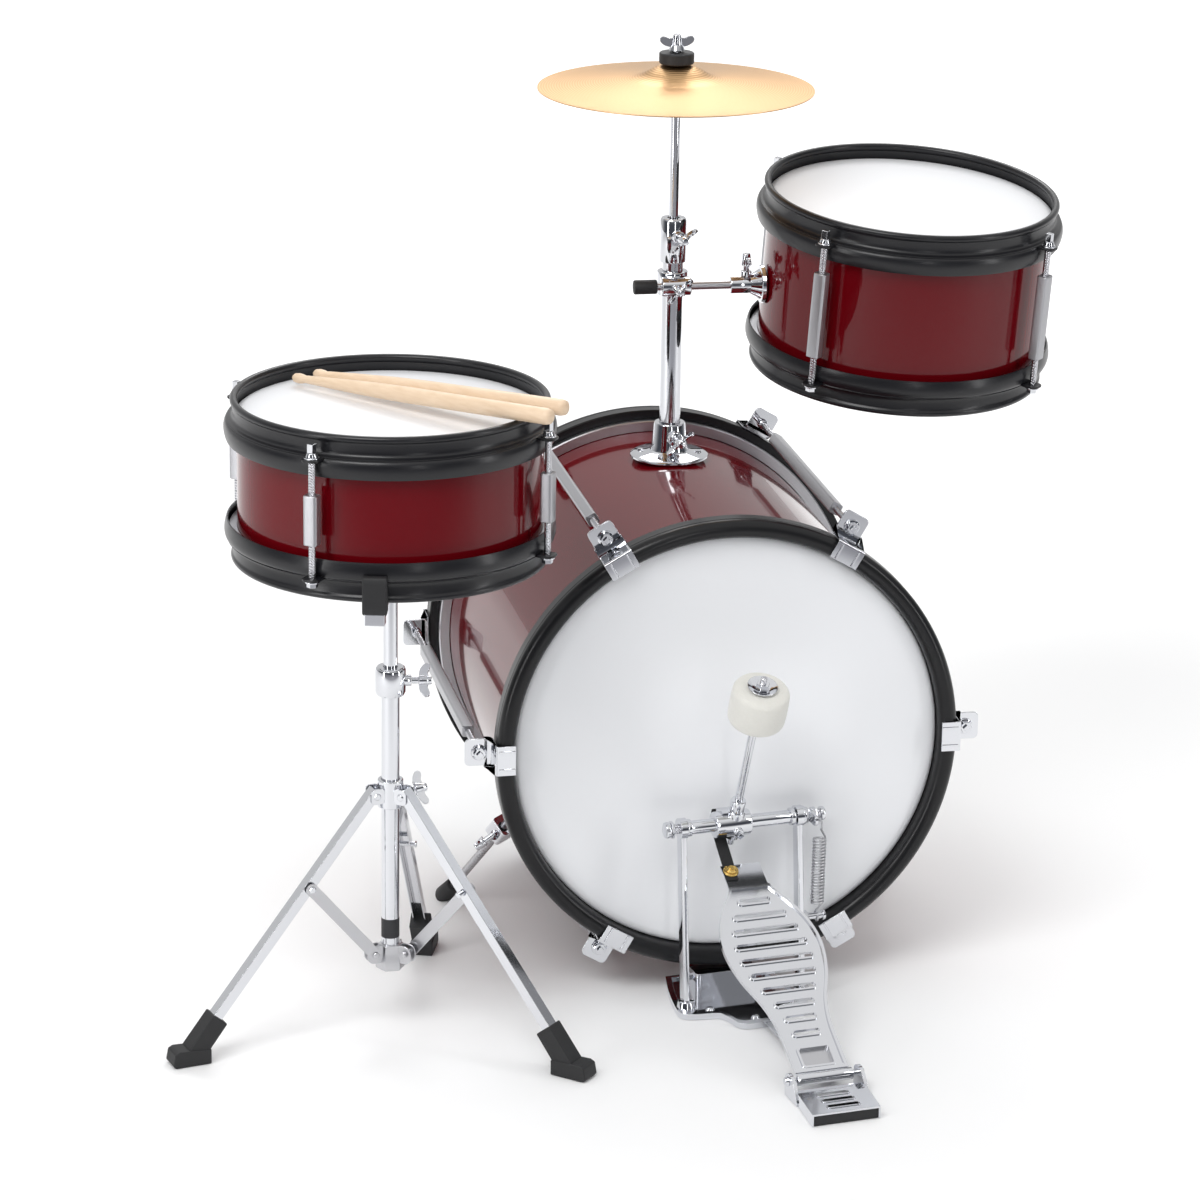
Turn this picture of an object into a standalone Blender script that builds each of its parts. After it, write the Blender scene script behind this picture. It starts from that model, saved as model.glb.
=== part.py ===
"""A junior three-piece drum kit: bass drum, snare on a stand, hanging tom, cymbal, pedal and sticks.

Metres, +Z up. The working frame stands on the floor under the face of the bass drum's batter hoop,
+Y runs from the player to the front of the kit and +X is the player's right. The empty "kit" then
moves everything so that the origin is at the middle of the kit's footprint, on the floor.
"""

import math

import bmesh
import bpy
from mathutils import Matrix, Vector

# Kit placement: the middle of the kit's box in the working frame
BOX_MIDDLE = Vector((-0.0803, 0.04625, 0.0))
GAP = 0.0003
RING_STEPS = 32
BASS_STEPS = 40
X, Y, Z = Vector((1, 0, 0)), Vector((0, 1, 0)), Vector((0, 0, 1))

# Bass drum (axis along +Y)
BASS_AXIS_Z = 0.2379
BASS_DEPTH = 0.394
BASS_HOOP_R = 0.2145
BASS_HOOP_WALL = 0.0170
BASS_HOOP_BACK = 0.0200
BASS_SHELL_R = 0.1955
BASS_SHELL_WALL = 0.0060
BASS_HEAD_INSET = 0.0100
BASS_FLESH_R = 0.2060
BASS_ROD_R = 0.2275
BASS_ROD_ANGLES = (0, 60, 120, 180, 240, 300)
HEAD_THICK = 0.0010

# Spurs
SPUR_BLOCK = Vector((-0.1800, 0.1600, 0.1100))
SPUR_TIP = Vector((-0.2174, 0.2690, 0.0000))
SPUR_ROD = 0.0040

# Post, arm and cymbal
POST_Y = 0.2759
POST_R = 0.0100
POST_BORE = 0.0056
POST_TOP = 0.6669
COLLAR_LOW = 0.6246
CLAMP_Z = 0.6045
ARM_R = 0.0040
ARM_OFFSET = 0.0165
CYMBAL_R = 0.1290
CYMBAL_RIM_Z = 0.7889
CYMBAL_ROD = 0.0045
CYMBAL_ROD_TOP = 0.8405
BASE_BOLT_ANGLE = -86.0
COLLAR_BOLT_ANGLE = -82.0

# Snare and tom share their hoops
BEAD_R = 0.1389
DRUM_SHELL_R = 0.1331
DRUM_WALL = 0.0050
DRUM_HEAD_DROP = 0.0140
LUG_R = 0.1500
SNARE_TOP = Vector((-0.3180, -0.0400, 0.5938))
SNARE_HEIGHT = 0.1458
SNARE_LUG_ANGLE = -125.0
TOM_TOP = Vector((0.2219, 0.2444, 0.6948))
TOM_HEIGHT = 0.1770
TOM_TILT = 6.4
TOM_TILT_TOWARDS = -69.4
TOM_LUG_ANGLE = -136.4

# Snare stand
STAND = Vector((SNARE_TOP.x, SNARE_TOP.y, 0.0))
STAND_LEG_ANGLES = (-166.5, -42.0, 71.4)
LEG_PIVOT = Vector((0.0155, 0.0, 0.2275))
LEG_FOOT = Vector((0.1800, 0.0, 0.0220))
BRACE_PIVOT = Vector((0.0175, 0.0, 0.0775))
BRACE_ON_LEG = 0.381
STAND_TUBE_R = 0.0080
STAND_INNER_R = 0.0063
STAND_COLLAR = (0.3196, 0.3456)
BASKET_Z = 0.4280
BASKET_ANGLES = (-104.0, 16.0, 136.0)

# Pedal (its own frame: origin on the floor under the axle, +Y to the drum)
PEDAL_PLACE = Vector((0.0030, -0.0200, 0.0))
PEDAL_TURN = 8.0
AXLE_Z = 0.1715
POST_SIDES = (-0.0525, 0.0605)
AXLE_ENDS = (-0.0635, 0.0860)
BEATER_SIDE = -0.0020
HINGE_Y, HINGE_Z = -0.2240, 0.0150
BOARD_SLOPE = 29.5
SLOT_COUNT = 10
CAM_R = 0.0152
BEATER_LEAN = 22.0
BEATER_REACH = 0.1605
FELT_R = 0.0260
FELT_LENGTH = 0.0380

# Sticks: butt and tip ends
STICK_ENDS = (
    (Vector((-0.2010, -0.1690, 0.6037)), Vector((-0.3900, 0.0530, 0.5866))),
    (Vector((-0.1830, -0.1430, 0.6037)), Vector((-0.3700, 0.0640, 0.5866))),
)
STICK_R = 0.0072

COLOURS = {
    "shell_wrap": ((0.20, 0.012, 0.016), 0.12, 0.0),
    "black_hoop": ((0.012, 0.012, 0.014), 0.35, 0.0),
    "black_steel": ((0.02, 0.021, 0.023), 0.38, 0.4),
    "drumhead": ((0.86, 0.86, 0.87), 0.45, 0.0),
    "chrome": ((0.80, 0.80, 0.82), 0.12, 1.0),
    "steel": ((0.62, 0.62, 0.64), 0.30, 1.0),
    "cymbal_brass": ((0.72, 0.50, 0.20), 0.30, 1.0),
    "rubber": ((0.015, 0.015, 0.015), 0.70, 0.0),
    "felt": ((0.85, 0.84, 0.80), 0.95, 0.0),
    "maple": ((0.80, 0.60, 0.38), 0.45, 0.0),
    "strap": ((0.015, 0.015, 0.017), 0.80, 0.0),
}


# ---------------------------------------------------------------- shapes
def frame_at(origin, up, side=X):
    """A matrix whose +Z is up and whose +X is as near to side as it can be."""
    up = Vector(up).normalized()
    side = Vector(side)
    side = (side - up * side.dot(up)).normalized()
    turn = Matrix((side, up.cross(side), up)).transposed()
    return Matrix.Translation(origin) @ turn.to_4x4()


def shape(points, faces, where=None):
    """A closed bmesh from points and faces, facing out."""
    bm = bmesh.new()
    corners = [bm.verts.new(point) for point in points]
    for face in faces:
        bm.faces.new([corners[i] for i in face])
    bmesh.ops.recalc_face_normals(bm, faces=bm.faces)
    if where is not None:
        bmesh.ops.transform(bm, matrix=where, verts=bm.verts)
    return bm


def lathe(outline, where=None, steps=RING_STEPS):
    """A closed outline of (radius, height) points turned about Z; points at radius 0 are poles."""
    points, rings = [], []
    for radius, height in outline:
        if radius == 0:
            rings.append([len(points)] * steps)
            points.append((0, 0, height))
            continue
        rings.append(range(len(points), len(points) + steps))
        for i in range(steps):
            angle = 2 * math.pi * i / steps
            points.append((radius * math.cos(angle), radius * math.sin(angle), height))
    faces = []
    for ring, after in zip(rings, rings[1:] + rings[:1]):
        for i in range(steps):
            j = (i + 1) % steps
            corners = [ring[i], ring[j], after[j], after[i]]
            face = list(dict.fromkeys(corners))
            if len(face) > 2:
                faces.append(face)
    return shape(points, faces, where)


def rod(start, end, radius, sides=12, end_radius=None):
    """A round bar between two points, or a cone where end_radius differs."""
    start, end = Vector(start), Vector(end)
    length = (end - start).length
    last = radius if end_radius is None else end_radius
    outline = [(0, 0), (radius, 0), (last, length), (0, length)]
    side = Y if abs((end - start).normalized().x) > 0.9 else X
    return lathe(outline, frame_at(start, end - start, side), sides)


def plate(outline, low, high, where=None):
    """A flat outline of (x, y) points raised from low to high."""
    count = len(outline)
    points = [(x, y, low) for x, y in outline] + [(x, y, high) for x, y in outline]
    faces = [list(range(count)), list(range(count, 2 * count))]
    for i in range(count):
        j = (i + 1) % count
        faces.append([i, j, count + j, count + i])
    return shape(points, faces, where)


def block(middle, size, where=None):
    """A box round a middle point."""
    (x, y, z), (a, b, c) = middle, [side / 2 for side in size]
    outline = [(x - a, y - b), (x + a, y - b), (x + a, y + b), (x - a, y + b)]
    return plate(outline, z - c, z + c, where)


def sweep(route, radius, sides=10):
    """A round bar bent along a route of points."""
    rings, points = [], []
    side = None
    for i, point in enumerate(route):
        before = route[max(i - 1, 0)]
        after = route[min(i + 1, len(route) - 1)]
        along = (after - before).normalized()
        if side is None:
            side = along.orthogonal().normalized()
        side = (side - along * side.dot(along)).normalized()
        other = along.cross(side)
        rings.append(range(len(points), len(points) + sides))
        for k in range(sides):
            angle = 2 * math.pi * k / sides
            points.append(point + (side * math.cos(angle) + other * math.sin(angle)) * radius)
    faces = [list(rings[0]), list(rings[-1])]
    for ring, following in zip(rings, rings[1:]):
        for k in range(sides):
            j = (k + 1) % sides
            faces.append([ring[k], ring[j], following[j], following[k]])
    return shape(points, faces)


def as_object(bm, name):
    mesh = bpy.data.meshes.new(name)
    bm.to_mesh(mesh)
    bm.free()
    piece = bpy.data.objects.new(name, mesh)
    bpy.context.scene.collection.objects.link(piece)
    return piece


def boolean(shapes, operation):
    """The first shape joined with the others, or with the others taken out of it."""
    target, *others = [as_object(bm, "work") for bm in shapes]
    tools = bpy.data.collections.new("tools")
    for other in others:
        tools.objects.link(other)
    modifier = target.modifiers.new("boolean", "BOOLEAN")
    modifier.operand_type = "COLLECTION"
    modifier.collection = tools
    modifier.operation = operation
    modifier.solver = "EXACT"
    bpy.context.view_layer.update()
    depsgraph = bpy.context.evaluated_depsgraph_get()
    result = bmesh.new()
    result.from_mesh(target.evaluated_get(depsgraph).to_mesh())
    bpy.data.collections.remove(tools)
    for piece in [target, *others]:
        bpy.data.objects.remove(piece)
    return result


def union(*shapes):
    return boolean(shapes, "UNION") if len(shapes) > 1 else shapes[0]


def cut(*shapes):
    return boolean(shapes, "DIFFERENCE")


# ---------------------------------------------------------------- objects
def material(name):
    found = bpy.data.materials.get(name)
    if found:
        return found
    colour, roughness, metallic = COLOURS[name]
    made = bpy.data.materials.new(name)
    made.use_nodes = True
    shader = made.node_tree.nodes["Principled BSDF"]
    shader.inputs["Base Color"].default_value = (*colour, 1)
    shader.inputs["Roughness"].default_value = roughness
    shader.inputs["Metallic"].default_value = metallic
    return made


def body(name, parent=None, pivot=(0, 0, 0)):
    """An empty on a moving body's joint axis."""
    empty = bpy.data.objects.new(name + "_joint", None)
    bpy.context.scene.collection.objects.link(empty)
    empty["pivot"] = list(pivot)
    empty.parent = parent
    start = Vector(parent["pivot"]) if parent else BOX_MIDDLE
    empty.location = Vector(pivot) - start
    return empty


def piece(name, owner, finish, *shapes):
    """One named object, its origin on its body's joint axis."""
    bm = union(*shapes)
    pivot = Vector(owner["pivot"])
    bmesh.ops.transform(bm, matrix=Matrix.Translation(-pivot), verts=bm.verts)
    made = as_object(bm, name)
    made.data.materials.append(material(finish))
    made.data.shade_smooth()
    made.data.set_sharp_from_angle(angle=math.radians(35))
    made.parent = owner
    return made


def turned(angle, radius, height=0.0):
    """The point at an angle in degrees round Z."""
    turn = math.radians(angle)
    return Vector((radius * math.cos(turn), radius * math.sin(turn), height))


# ---------------------------------------------------------------- small hardware
def wing_bolt(base, direction, wing_side, shank=0.010):
    """A wing bolt that stands on base: a shank, a round hub and two flat wings."""
    where = frame_at(base, direction, wing_side)
    wings = [
        (-0.0165, 0.0070), (-0.0160, 0.0015), (-0.0100, -0.0010), (0.0100, -0.0010),
        (0.0160, 0.0015), (0.0165, 0.0070), (0.0120, 0.0100), (-0.0120, 0.0100),
    ]
    standing = where @ Matrix.Translation((0, 0, shank)) @ Matrix.Rotation(math.radians(90), 4, "X")
    direction = Vector(direction).normalized()
    top = Vector(base) + direction * (shank + 0.012)
    return [
        rod(base, Vector(base) + direction * (shank + 0.002), 0.0030, 8),
        rod(Vector(base) + direction * shank, top, 0.0046, 10),
        plate(wings, -0.0013, 0.0013, standing),
    ]


# ---------------------------------------------------------------- bass drum
def bass_frame(front):
    """Local +Z runs from a hoop's face into the drum."""
    if front:
        return frame_at((0, BASS_DEPTH, BASS_AXIS_Z), -Y)
    return frame_at((0, 0, BASS_AXIS_Z), Y)


def bass_hoop(front):
    nose = BASS_HOOP_WALL / 2
    middle = BASS_HOOP_R - nose
    outline = [(BASS_HOOP_R - BASS_HOOP_WALL, BASS_HOOP_BACK), (BASS_HOOP_R, BASS_HOOP_BACK)]
    for i in range(6):
        turn = math.pi * i / 5
        outline.append((middle + nose * math.cos(turn), 0.0045 - nose * math.sin(turn)))
    return lathe(outline, bass_frame(front), BASS_STEPS)


def bass_head(front):
    inner = BASS_SHELL_R + GAP
    outer = BASS_HOOP_R - BASS_HOOP_WALL - GAP
    ring = BASS_HOOP_BACK + GAP
    outline = [
        (0, BASS_HEAD_INSET), (outer, BASS_HEAD_INSET), (outer, ring), (BASS_FLESH_R, ring),
        (BASS_FLESH_R, ring + 0.009), (inner, ring + 0.009),
        (inner, BASS_HEAD_INSET + HEAD_THICK), (0, BASS_HEAD_INSET + HEAD_THICK),
    ]
    return lathe(outline, bass_frame(front), BASS_STEPS)


def bass_shell():
    low = BASS_HEAD_INSET + HEAD_THICK + GAP
    high = BASS_DEPTH - low
    inner = BASS_SHELL_R - BASS_SHELL_WALL
    outline = [(inner, low), (BASS_SHELL_R, low), (BASS_SHELL_R, high), (inner, high)]
    post_hole = rod((0, POST_Y, BASS_AXIS_Z + 0.15), (0, POST_Y, 0.5), POST_R + 0.0012, 20)
    return cut(lathe(outline, bass_frame(False), BASS_STEPS), post_hole)


def bass_claw(front, outward):
    """A bent plate that hooks over the hoop and ends in a flat ear for the tension rod."""
    where = frame_at(bass_frame(front).translation, bass_frame(front).col[2].to_3d(), outward)
    high = BASS_HOOP_R + GAP
    hook = [
        (high - 0.0165, -0.0066), (high - 0.0004, -0.0066), (high + 0.0016, -0.0046),
        (high + 0.0016, 0.0250), (high, 0.0250), (high, -0.0050), (high - 0.0165, -0.0050),
    ]
    upright = where @ Matrix.Rotation(math.radians(90), 4, "X")
    ear = block((high + 0.0134, 0, 0.0225), (0.0252, 0.0250, 0.0022), where)
    bolt = rod(where @ Vector((BASS_ROD_R, 0, 0.0135)), where @ Vector((BASS_ROD_R, 0, 0.030)), 0.0052, 6)
    return [plate(hook, -0.0140, 0.0140, upright), ear, bolt]


def bass_rod(angle):
    outward = Vector((math.cos(math.radians(angle)), 0, math.sin(math.radians(angle))))
    near = Vector((0, 0, BASS_AXIS_Z)) + outward * BASS_ROD_R
    far = near + Y * BASS_DEPTH
    quarter = BASS_DEPTH * 0.2
    sleeve = frame_at((near + far) / 2, Y, outward)
    return [
        rod(near + Y * 0.010, far - Y * 0.010, 0.0030, 8),
        block((0, 0, 0), (0.0110, 0.0110, BASS_DEPTH - 2 * quarter), sleeve),
        *bass_claw(False, outward),
        *bass_claw(True, outward),
    ]


def make_bass(kit):
    piece("bass_shell", kit, "shell_wrap", bass_shell())
    for name, front in (("batter", False), ("front", True)):
        piece(f"bass_{name}_head", kit, "drumhead", bass_head(front))
        piece(f"bass_{name}_hoop", kit, "black_hoop", bass_hoop(front))
    for number, angle in enumerate(BASS_ROD_ANGLES, 1):
        piece(f"bass_tension_rod_{number}", kit, "chrome", *bass_rod(angle))


# ---------------------------------------------------------------- spurs
def make_spurs(kit):
    for name, side in (("left", 1), ("right", -1)):
        mirror = Vector((side, 1, 1))
        middle, tip = SPUR_BLOCK * mirror, SPUR_TIP * mirror
        along = (tip - middle).normalized()
        axis = Vector((0, middle.y, BASS_AXIS_Z))
        outward = (middle - axis).normalized()
        where = frame_at(middle, along, outward)
        reach = (middle - axis).length - BASS_SHELL_R
        foot = frame_at(axis, outward, Y)
        base = BASS_SHELL_R + 0.0010
        holder = cut(
            union(
                block((0, 0, 0), (0.020, 0.020, 0.022), where),
                rod(axis + outward * (base + 0.001), middle, 0.0085, 12),
                block((0, 0, base + 0.0015), (0.040, 0.022, 0.003), foot),
            ),
            rod(middle - along * 0.03, middle + along * 0.03, SPUR_ROD + GAP, 12),
        )
        bolt = wing_bolt(middle + outward * 0.0095, outward, along, 0.010)
        piece(f"spur_bracket_{name}", kit, "chrome", holder, *bolt)

        leg = body(f"spur_leg_{name}", kit, middle)
        heel = tip - along * 0.030
        foot_pad = lathe(
            [(0, 0), (0.0075, 0), (0.0100, 0.030), (0.0068, 0.0360), (0, 0.0360)],
            frame_at(heel, along), 12,
        )
        ground = block((0, 0, -0.025), (1.2, 1.2, 0.050))
        shank = rod(middle - along * (0.0110 + reach * 0.3), heel + along * 0.01, SPUR_ROD, 12)
        piece(f"spur_leg_{name}", leg, "steel", cut(union(shank, foot_pad), ground))


# ---------------------------------------------------------------- post, arm, cymbal
def make_post(kit):
    axis = Vector((0, POST_Y, 0))
    saddle = BASS_AXIS_Z + BASS_SHELL_R + 0.0008
    flange = [
        (0, saddle), (0.036, saddle), (0.037, saddle + 0.0025), (0.034, saddle + 0.0045),
        (0.0190, saddle + 0.0060), (0.0150, saddle + 0.0340), (0, saddle + 0.0340),
    ]
    boss = axis + Z * (saddle + 0.022)
    base = cut(
        union(
            lathe(flange, Matrix.Translation(axis), 32),
            rod(boss, boss + turned(BASE_BOLT_ANGLE, 0.024), 0.0075, 12),
        ),
        rod(axis + Z * 0.40, axis + Z * 0.50, POST_R + GAP, 20),
    )
    piece("post_base", kit, "chrome", base)

    bolt_at = boss + turned(BASE_BOLT_ANGLE, 0.024 + GAP)
    bolt = body("post_base_wing_bolt", kit, bolt_at)
    wings = X + Z * 0.8
    piece("post_base_wing_bolt", bolt, "chrome", *wing_bolt(bolt_at, turned(BASE_BOLT_ANGLE, 1), wings, 0.006))

    post = body("post", kit, axis + Z * 0.47)
    collar = [
        (0, COLLAR_LOW), (0.0125, COLLAR_LOW), (0.0125, POST_TOP - 0.002), (0.0110, POST_TOP), (0, POST_TOP),
    ]
    lug = axis + Z * (COLLAR_LOW + 0.026)
    outside = union(
        rod(axis + Z * 0.385, axis + Z * (COLLAR_LOW + 0.01), POST_R, 20),
        lathe(collar, Matrix.Translation(axis), 20),
        rod(lug + turned(COLLAR_BOLT_ANGLE, 0.008), lug + turned(COLLAR_BOLT_ANGLE, 0.019), 0.0065, 12),
        *wing_bolt(lug + turned(COLLAR_BOLT_ANGLE, 0.0185), turned(COLLAR_BOLT_ANGLE, 1), wings, 0.004),
    )
    bore = rod(axis + Z * 0.30, axis + Z * (POST_TOP + 0.01), POST_BORE, 16)
    piece("post_tube", post, "chrome", cut(outside, bore))
    make_cymbal(post, axis)
    make_arm(post, axis)


def make_cymbal(post, axis):
    seat = CYMBAL_RIM_Z + 0.0225
    stem = body("cymbal_rod", post, axis + Z * POST_TOP)
    flange = [
        (0, seat - 0.006), (0.006, seat - 0.006), (0.0085, seat - 0.004),
        (0.0085, seat - 0.0026), (0, seat - 0.0026),
    ]
    piece(
        "cymbal_rod", stem, "chrome",
        rod(axis + Z * (POST_TOP - 0.09), axis + Z * (seat - 0.003), CYMBAL_ROD, 12),
        lathe(flange, Matrix.Translation(axis), 16),
        rod(axis + Z * (seat - 0.004), axis + Z * CYMBAL_ROD_TOP, 0.0030, 12),
    )

    washer = body("cymbal_washer", stem, axis + Z * seat)
    felt = [
        (0.0045, seat + 0.0020), (0.0165, seat + 0.0020), (0.0165, seat + 0.0105),
        (0.0145, seat + 0.0120), (0.0045, seat + 0.0120),
    ]
    piece("cymbal_washer", washer, "rubber", lathe(felt, Matrix.Translation(axis), 24))

    plate_body = body("cymbal", washer, axis + Z * seat)
    rise = seat - CYMBAL_RIM_Z
    top = [(0.0050, rise + 0.0012), (0.0130, rise), (0.0230, rise - 0.0040), (0.0300, rise - 0.0092)]
    for i in range(3):
        share = i / 2
        radius = 0.0350 + (CYMBAL_R - 0.0350) * share
        top.append((radius, 0.0012 + (rise - 0.0125) * (1 - share) ** 1.25))
    under = [(radius, height - 0.0012) for radius, height in reversed(top)]
    where = Matrix.Translation(axis + Z * CYMBAL_RIM_Z)
    piece("cymbal", plate_body, "cymbal_brass", lathe(top + under, where, 40))

    nut_at = axis + Z * (seat + 0.0140)
    nut = body("cymbal_wing_nut", stem, nut_at)
    solid = union(*wing_bolt(nut_at, Z, X, 0.004))
    bored = cut(
        union(solid, rod(nut_at, nut_at + Z * 0.006, 0.0075, 12)),
        rod(nut_at - Z * 0.01, nut_at + Z * 0.03, 0.0030 + GAP, 12),
    )
    piece("cymbal_wing_nut", nut, "chrome", bored)


def arm_direction(middle):
    """The way the arm runs, and how far its line is from the tom's shell."""
    up = tom_frame().to_3x3() @ Z
    centre = TOM_TOP - up * (TOM_TOP.z - CLAMP_Z) / up.z
    straight = (centre - middle).xy.to_3d()
    aim = Matrix.Rotation(math.asin(ARM_OFFSET / straight.length), 3, "Z")
    reach = math.sqrt(straight.length ** 2 - ARM_OFFSET ** 2) - DRUM_SHELL_R
    return aim @ straight.normalized(), reach


def make_arm(post, axis):
    middle = axis + Z * CLAMP_Z
    along, reach = arm_direction(middle)
    across = Z.cross(along)
    clamp = body("arm_clamp", post, middle)
    arm_line = middle - across * ARM_OFFSET
    holder = cut(
        union(
            rod(middle - Z * 0.0115, middle + Z * 0.0115, 0.0145, 20),
            rod(arm_line - along * 0.014, arm_line + along * 0.014, 0.0090, 16),
            block((0, 0, 0), (0.018, 0.022, 0.018), frame_at(middle - across * 0.010, Z, along)),
        ),
        rod(middle - Z * 0.03, middle + Z * 0.03, POST_R + GAP, 20),
        rod(arm_line - along * 0.03, arm_line + along * 0.03, ARM_R + GAP, 12),
    )
    piece("arm_clamp", clamp, "chrome", holder)

    bolt_at = arm_line - across * (0.0090 + GAP)
    bolt = body("arm_clamp_wing_bolt", clamp, bolt_at)
    piece("arm_clamp_wing_bolt", bolt, "chrome", *wing_bolt(bolt_at, -across, Z + along, 0.007))

    arm = body("tom_arm", clamp, arm_line)
    piece(
        "tom_arm", arm, "steel",
        rod(arm_line - along * 0.040, arm_line + along * (reach - 0.006), ARM_R, 12),
        rod(arm_line - along * 0.040, arm_line - along * 0.018, 0.0068, 12),
    )
    make_tom(arm, arm_line, along, reach)


# ---------------------------------------------------------------- snare and tom
def drum_hoop_outline(height, flip):
    """The pressed hoop's section: rolled bead, upright wall, flange and flared skirt."""
    outline = [
        (-0.0036, 0.0), (0.0, -0.0030), (-0.0022, -0.0062), (-0.0024, -0.0165), (0.0040, -0.0196),
        (0.0054, -0.0275), (0.0036, -0.0365), (0.0022, -0.0362), (0.0036, -0.0275), (0.0026, -0.0212),
        (-0.0039, -0.0182), (-0.0039, -0.0060), (-0.0064, -0.0026),
    ]
    return [(BEAD_R + r, -height - z if flip else z) for r, z in outline]


def drum_hoop(where, height, flip, lugs, bored):
    """A hoop with an ear for each tension rod, bored where the rod passes through."""
    level = -height + 0.0206 if flip else -0.0206
    ears = []
    bores = []
    for angle in lugs:
        turn = Matrix.Rotation(math.radians(angle), 4, "Z")
        ears.append(block((LUG_R - 0.0025, 0, level), (0.0200, 0.0150, 0.0022), where @ turn))
        spot = turned(angle, LUG_R)
        bores.append(rod(where @ (spot + Z * (level - 0.01)), where @ (spot + Z * (level + 0.01)),
                         0.0030 + GAP, 10))
    ring = union(lathe(drum_hoop_outline(height, flip), where), *ears)
    return cut(ring, *bores) if bored else ring


def drum_head(where, height, flip):
    inner = DRUM_SHELL_R + GAP
    drop, ring, thick = DRUM_HEAD_DROP, 0.0222, 0.0008
    outline = [
        (0, -drop), (BEAD_R - 0.0042, -drop), (BEAD_R - 0.0042, -ring), (BEAD_R + 0.0019, -ring),
        (BEAD_R + 0.0019, -ring - 0.0075), (inner, -ring - 0.0075), (inner, -drop - thick),
        (0, -drop - thick),
    ]
    if flip:
        outline = [(r, -height - z) for r, z in outline]
    return lathe(outline, where)


def drum_shell(where, height):
    top = -DRUM_HEAD_DROP - 0.0008 - GAP
    inner = DRUM_SHELL_R - DRUM_WALL
    outline = [(inner, -height - top), (DRUM_SHELL_R, -height - top), (DRUM_SHELL_R, top), (inner, top)]
    return lathe(outline, where)


def lug_rod(where, height, angle, sleeve):
    """A tension rod from its key head to its lower nut, with the long square coupling nut."""
    spot = turned(angle, LUG_R)
    turn = Matrix.Rotation(math.radians(angle), 4, "Z")
    ear_top, ear_low = -0.0192, -height + 0.0206
    return [
        rod(where @ (spot + Z * (ear_top + 0.012)), where @ (spot + Z * (ear_low - 0.0075)), 0.0030, 8),
        rod(where @ (spot + Z * (ear_top + 0.0006)), where @ (spot + Z * (ear_top + 0.005)), 0.0062, 10,
            0.0040),
        block((LUG_R, 0, -height / 2), (0.0110, 0.0120, sleeve), where @ turn),
        rod(where @ (spot + Z * (ear_low - 0.0005)), where @ (spot + Z * (ear_low - 0.006)), 0.0058, 6),
    ]


def make_drum(name, owner, where, height, first_lug, sleeve):
    """Shell, heads and hoops; the tension rods are one piece with the lower hoop that holds them."""
    lugs = [first_lug + 90 * i for i in range(4)]
    piece(f"{name}_shell", owner, "shell_wrap", drum_shell(where, height))
    piece(f"{name}_top_head", owner, "drumhead", drum_head(where, height, False))
    piece(f"{name}_bottom_head", owner, "drumhead", drum_head(where, height, True))
    piece(f"{name}_top_hoop", owner, "black_steel", drum_hoop(where, height, False, lugs, True))
    rods = [part for angle in lugs for part in lug_rod(where, height, angle, sleeve)]
    lower = drum_hoop(where, height, True, lugs, False)
    piece(f"{name}_bottom_hoop_and_rods", owner, "black_steel", lower, *rods)


def tom_frame():
    lean = math.radians(TOM_TILT)
    up = turned(TOM_TILT_TOWARDS, math.sin(lean), math.cos(lean))
    return frame_at(TOM_TOP, up)


def make_tom(arm, arm_line, along, reach):
    where = tom_frame()
    tom = body("tom", arm, arm_line)
    make_drum("tom", tom, where, TOM_HEIGHT, TOM_LUG_ANGLE, 0.082)

    face = arm_line + along * (reach - 0.0030)
    sleeve_end = arm_line + along * (reach - 0.034)
    boss = (face + sleeve_end) / 2
    bracket = cut(
        union(
            rod(face + along * 0.0015, face - along * 0.0025, 0.0185, 24),
            rod(face, sleeve_end, 0.0085, 16),
            rod(boss, boss + Z * 0.0130, 0.0055, 10),
        ),
        rod(sleeve_end - along * 0.01, face - along * 0.001, ARM_R + GAP, 12),
    )
    piece("tom_bracket", tom, "chrome", bracket)

    bolt_at = boss + Z * (0.0130 + GAP)
    bolt = body("tom_bracket_wing_bolt", tom, bolt_at)
    piece("tom_bracket_wing_bolt", bolt, "chrome", *wing_bolt(bolt_at, Z, Z.cross(along), 0.005))


def make_snare(top):
    snare = body("snare", top, SNARE_TOP)
    make_drum("snare", snare, Matrix.Translation(SNARE_TOP), SNARE_HEIGHT, SNARE_LUG_ANGLE, 0.044)
    for number, (butt, tip) in enumerate(STICK_ENDS, 1):
        stick = body(f"drumstick_{number}", snare, butt)
        length = (tip - butt).length
        profile = [
            (0, 0), (STICK_R * 0.7, 0.0008), (STICK_R, 0.005), (STICK_R, length * 0.55),
            (STICK_R * 0.50, length - 0.016), (STICK_R * 0.62, length - 0.010),
            (STICK_R * 0.55, length - 0.003), (STICK_R * 0.3, length - 0.0005), (0, length),
        ]
        piece(f"drumstick_{number}", stick, "maple", lathe(profile, frame_at(butt, tip - butt), 16))


# ---------------------------------------------------------------- snare stand
def leg_frame(angle):
    """Local +X points out along a leg, +Z stays up."""
    return Matrix.Translation(STAND) @ Matrix.Rotation(math.radians(angle), 4, "Z")


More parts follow.
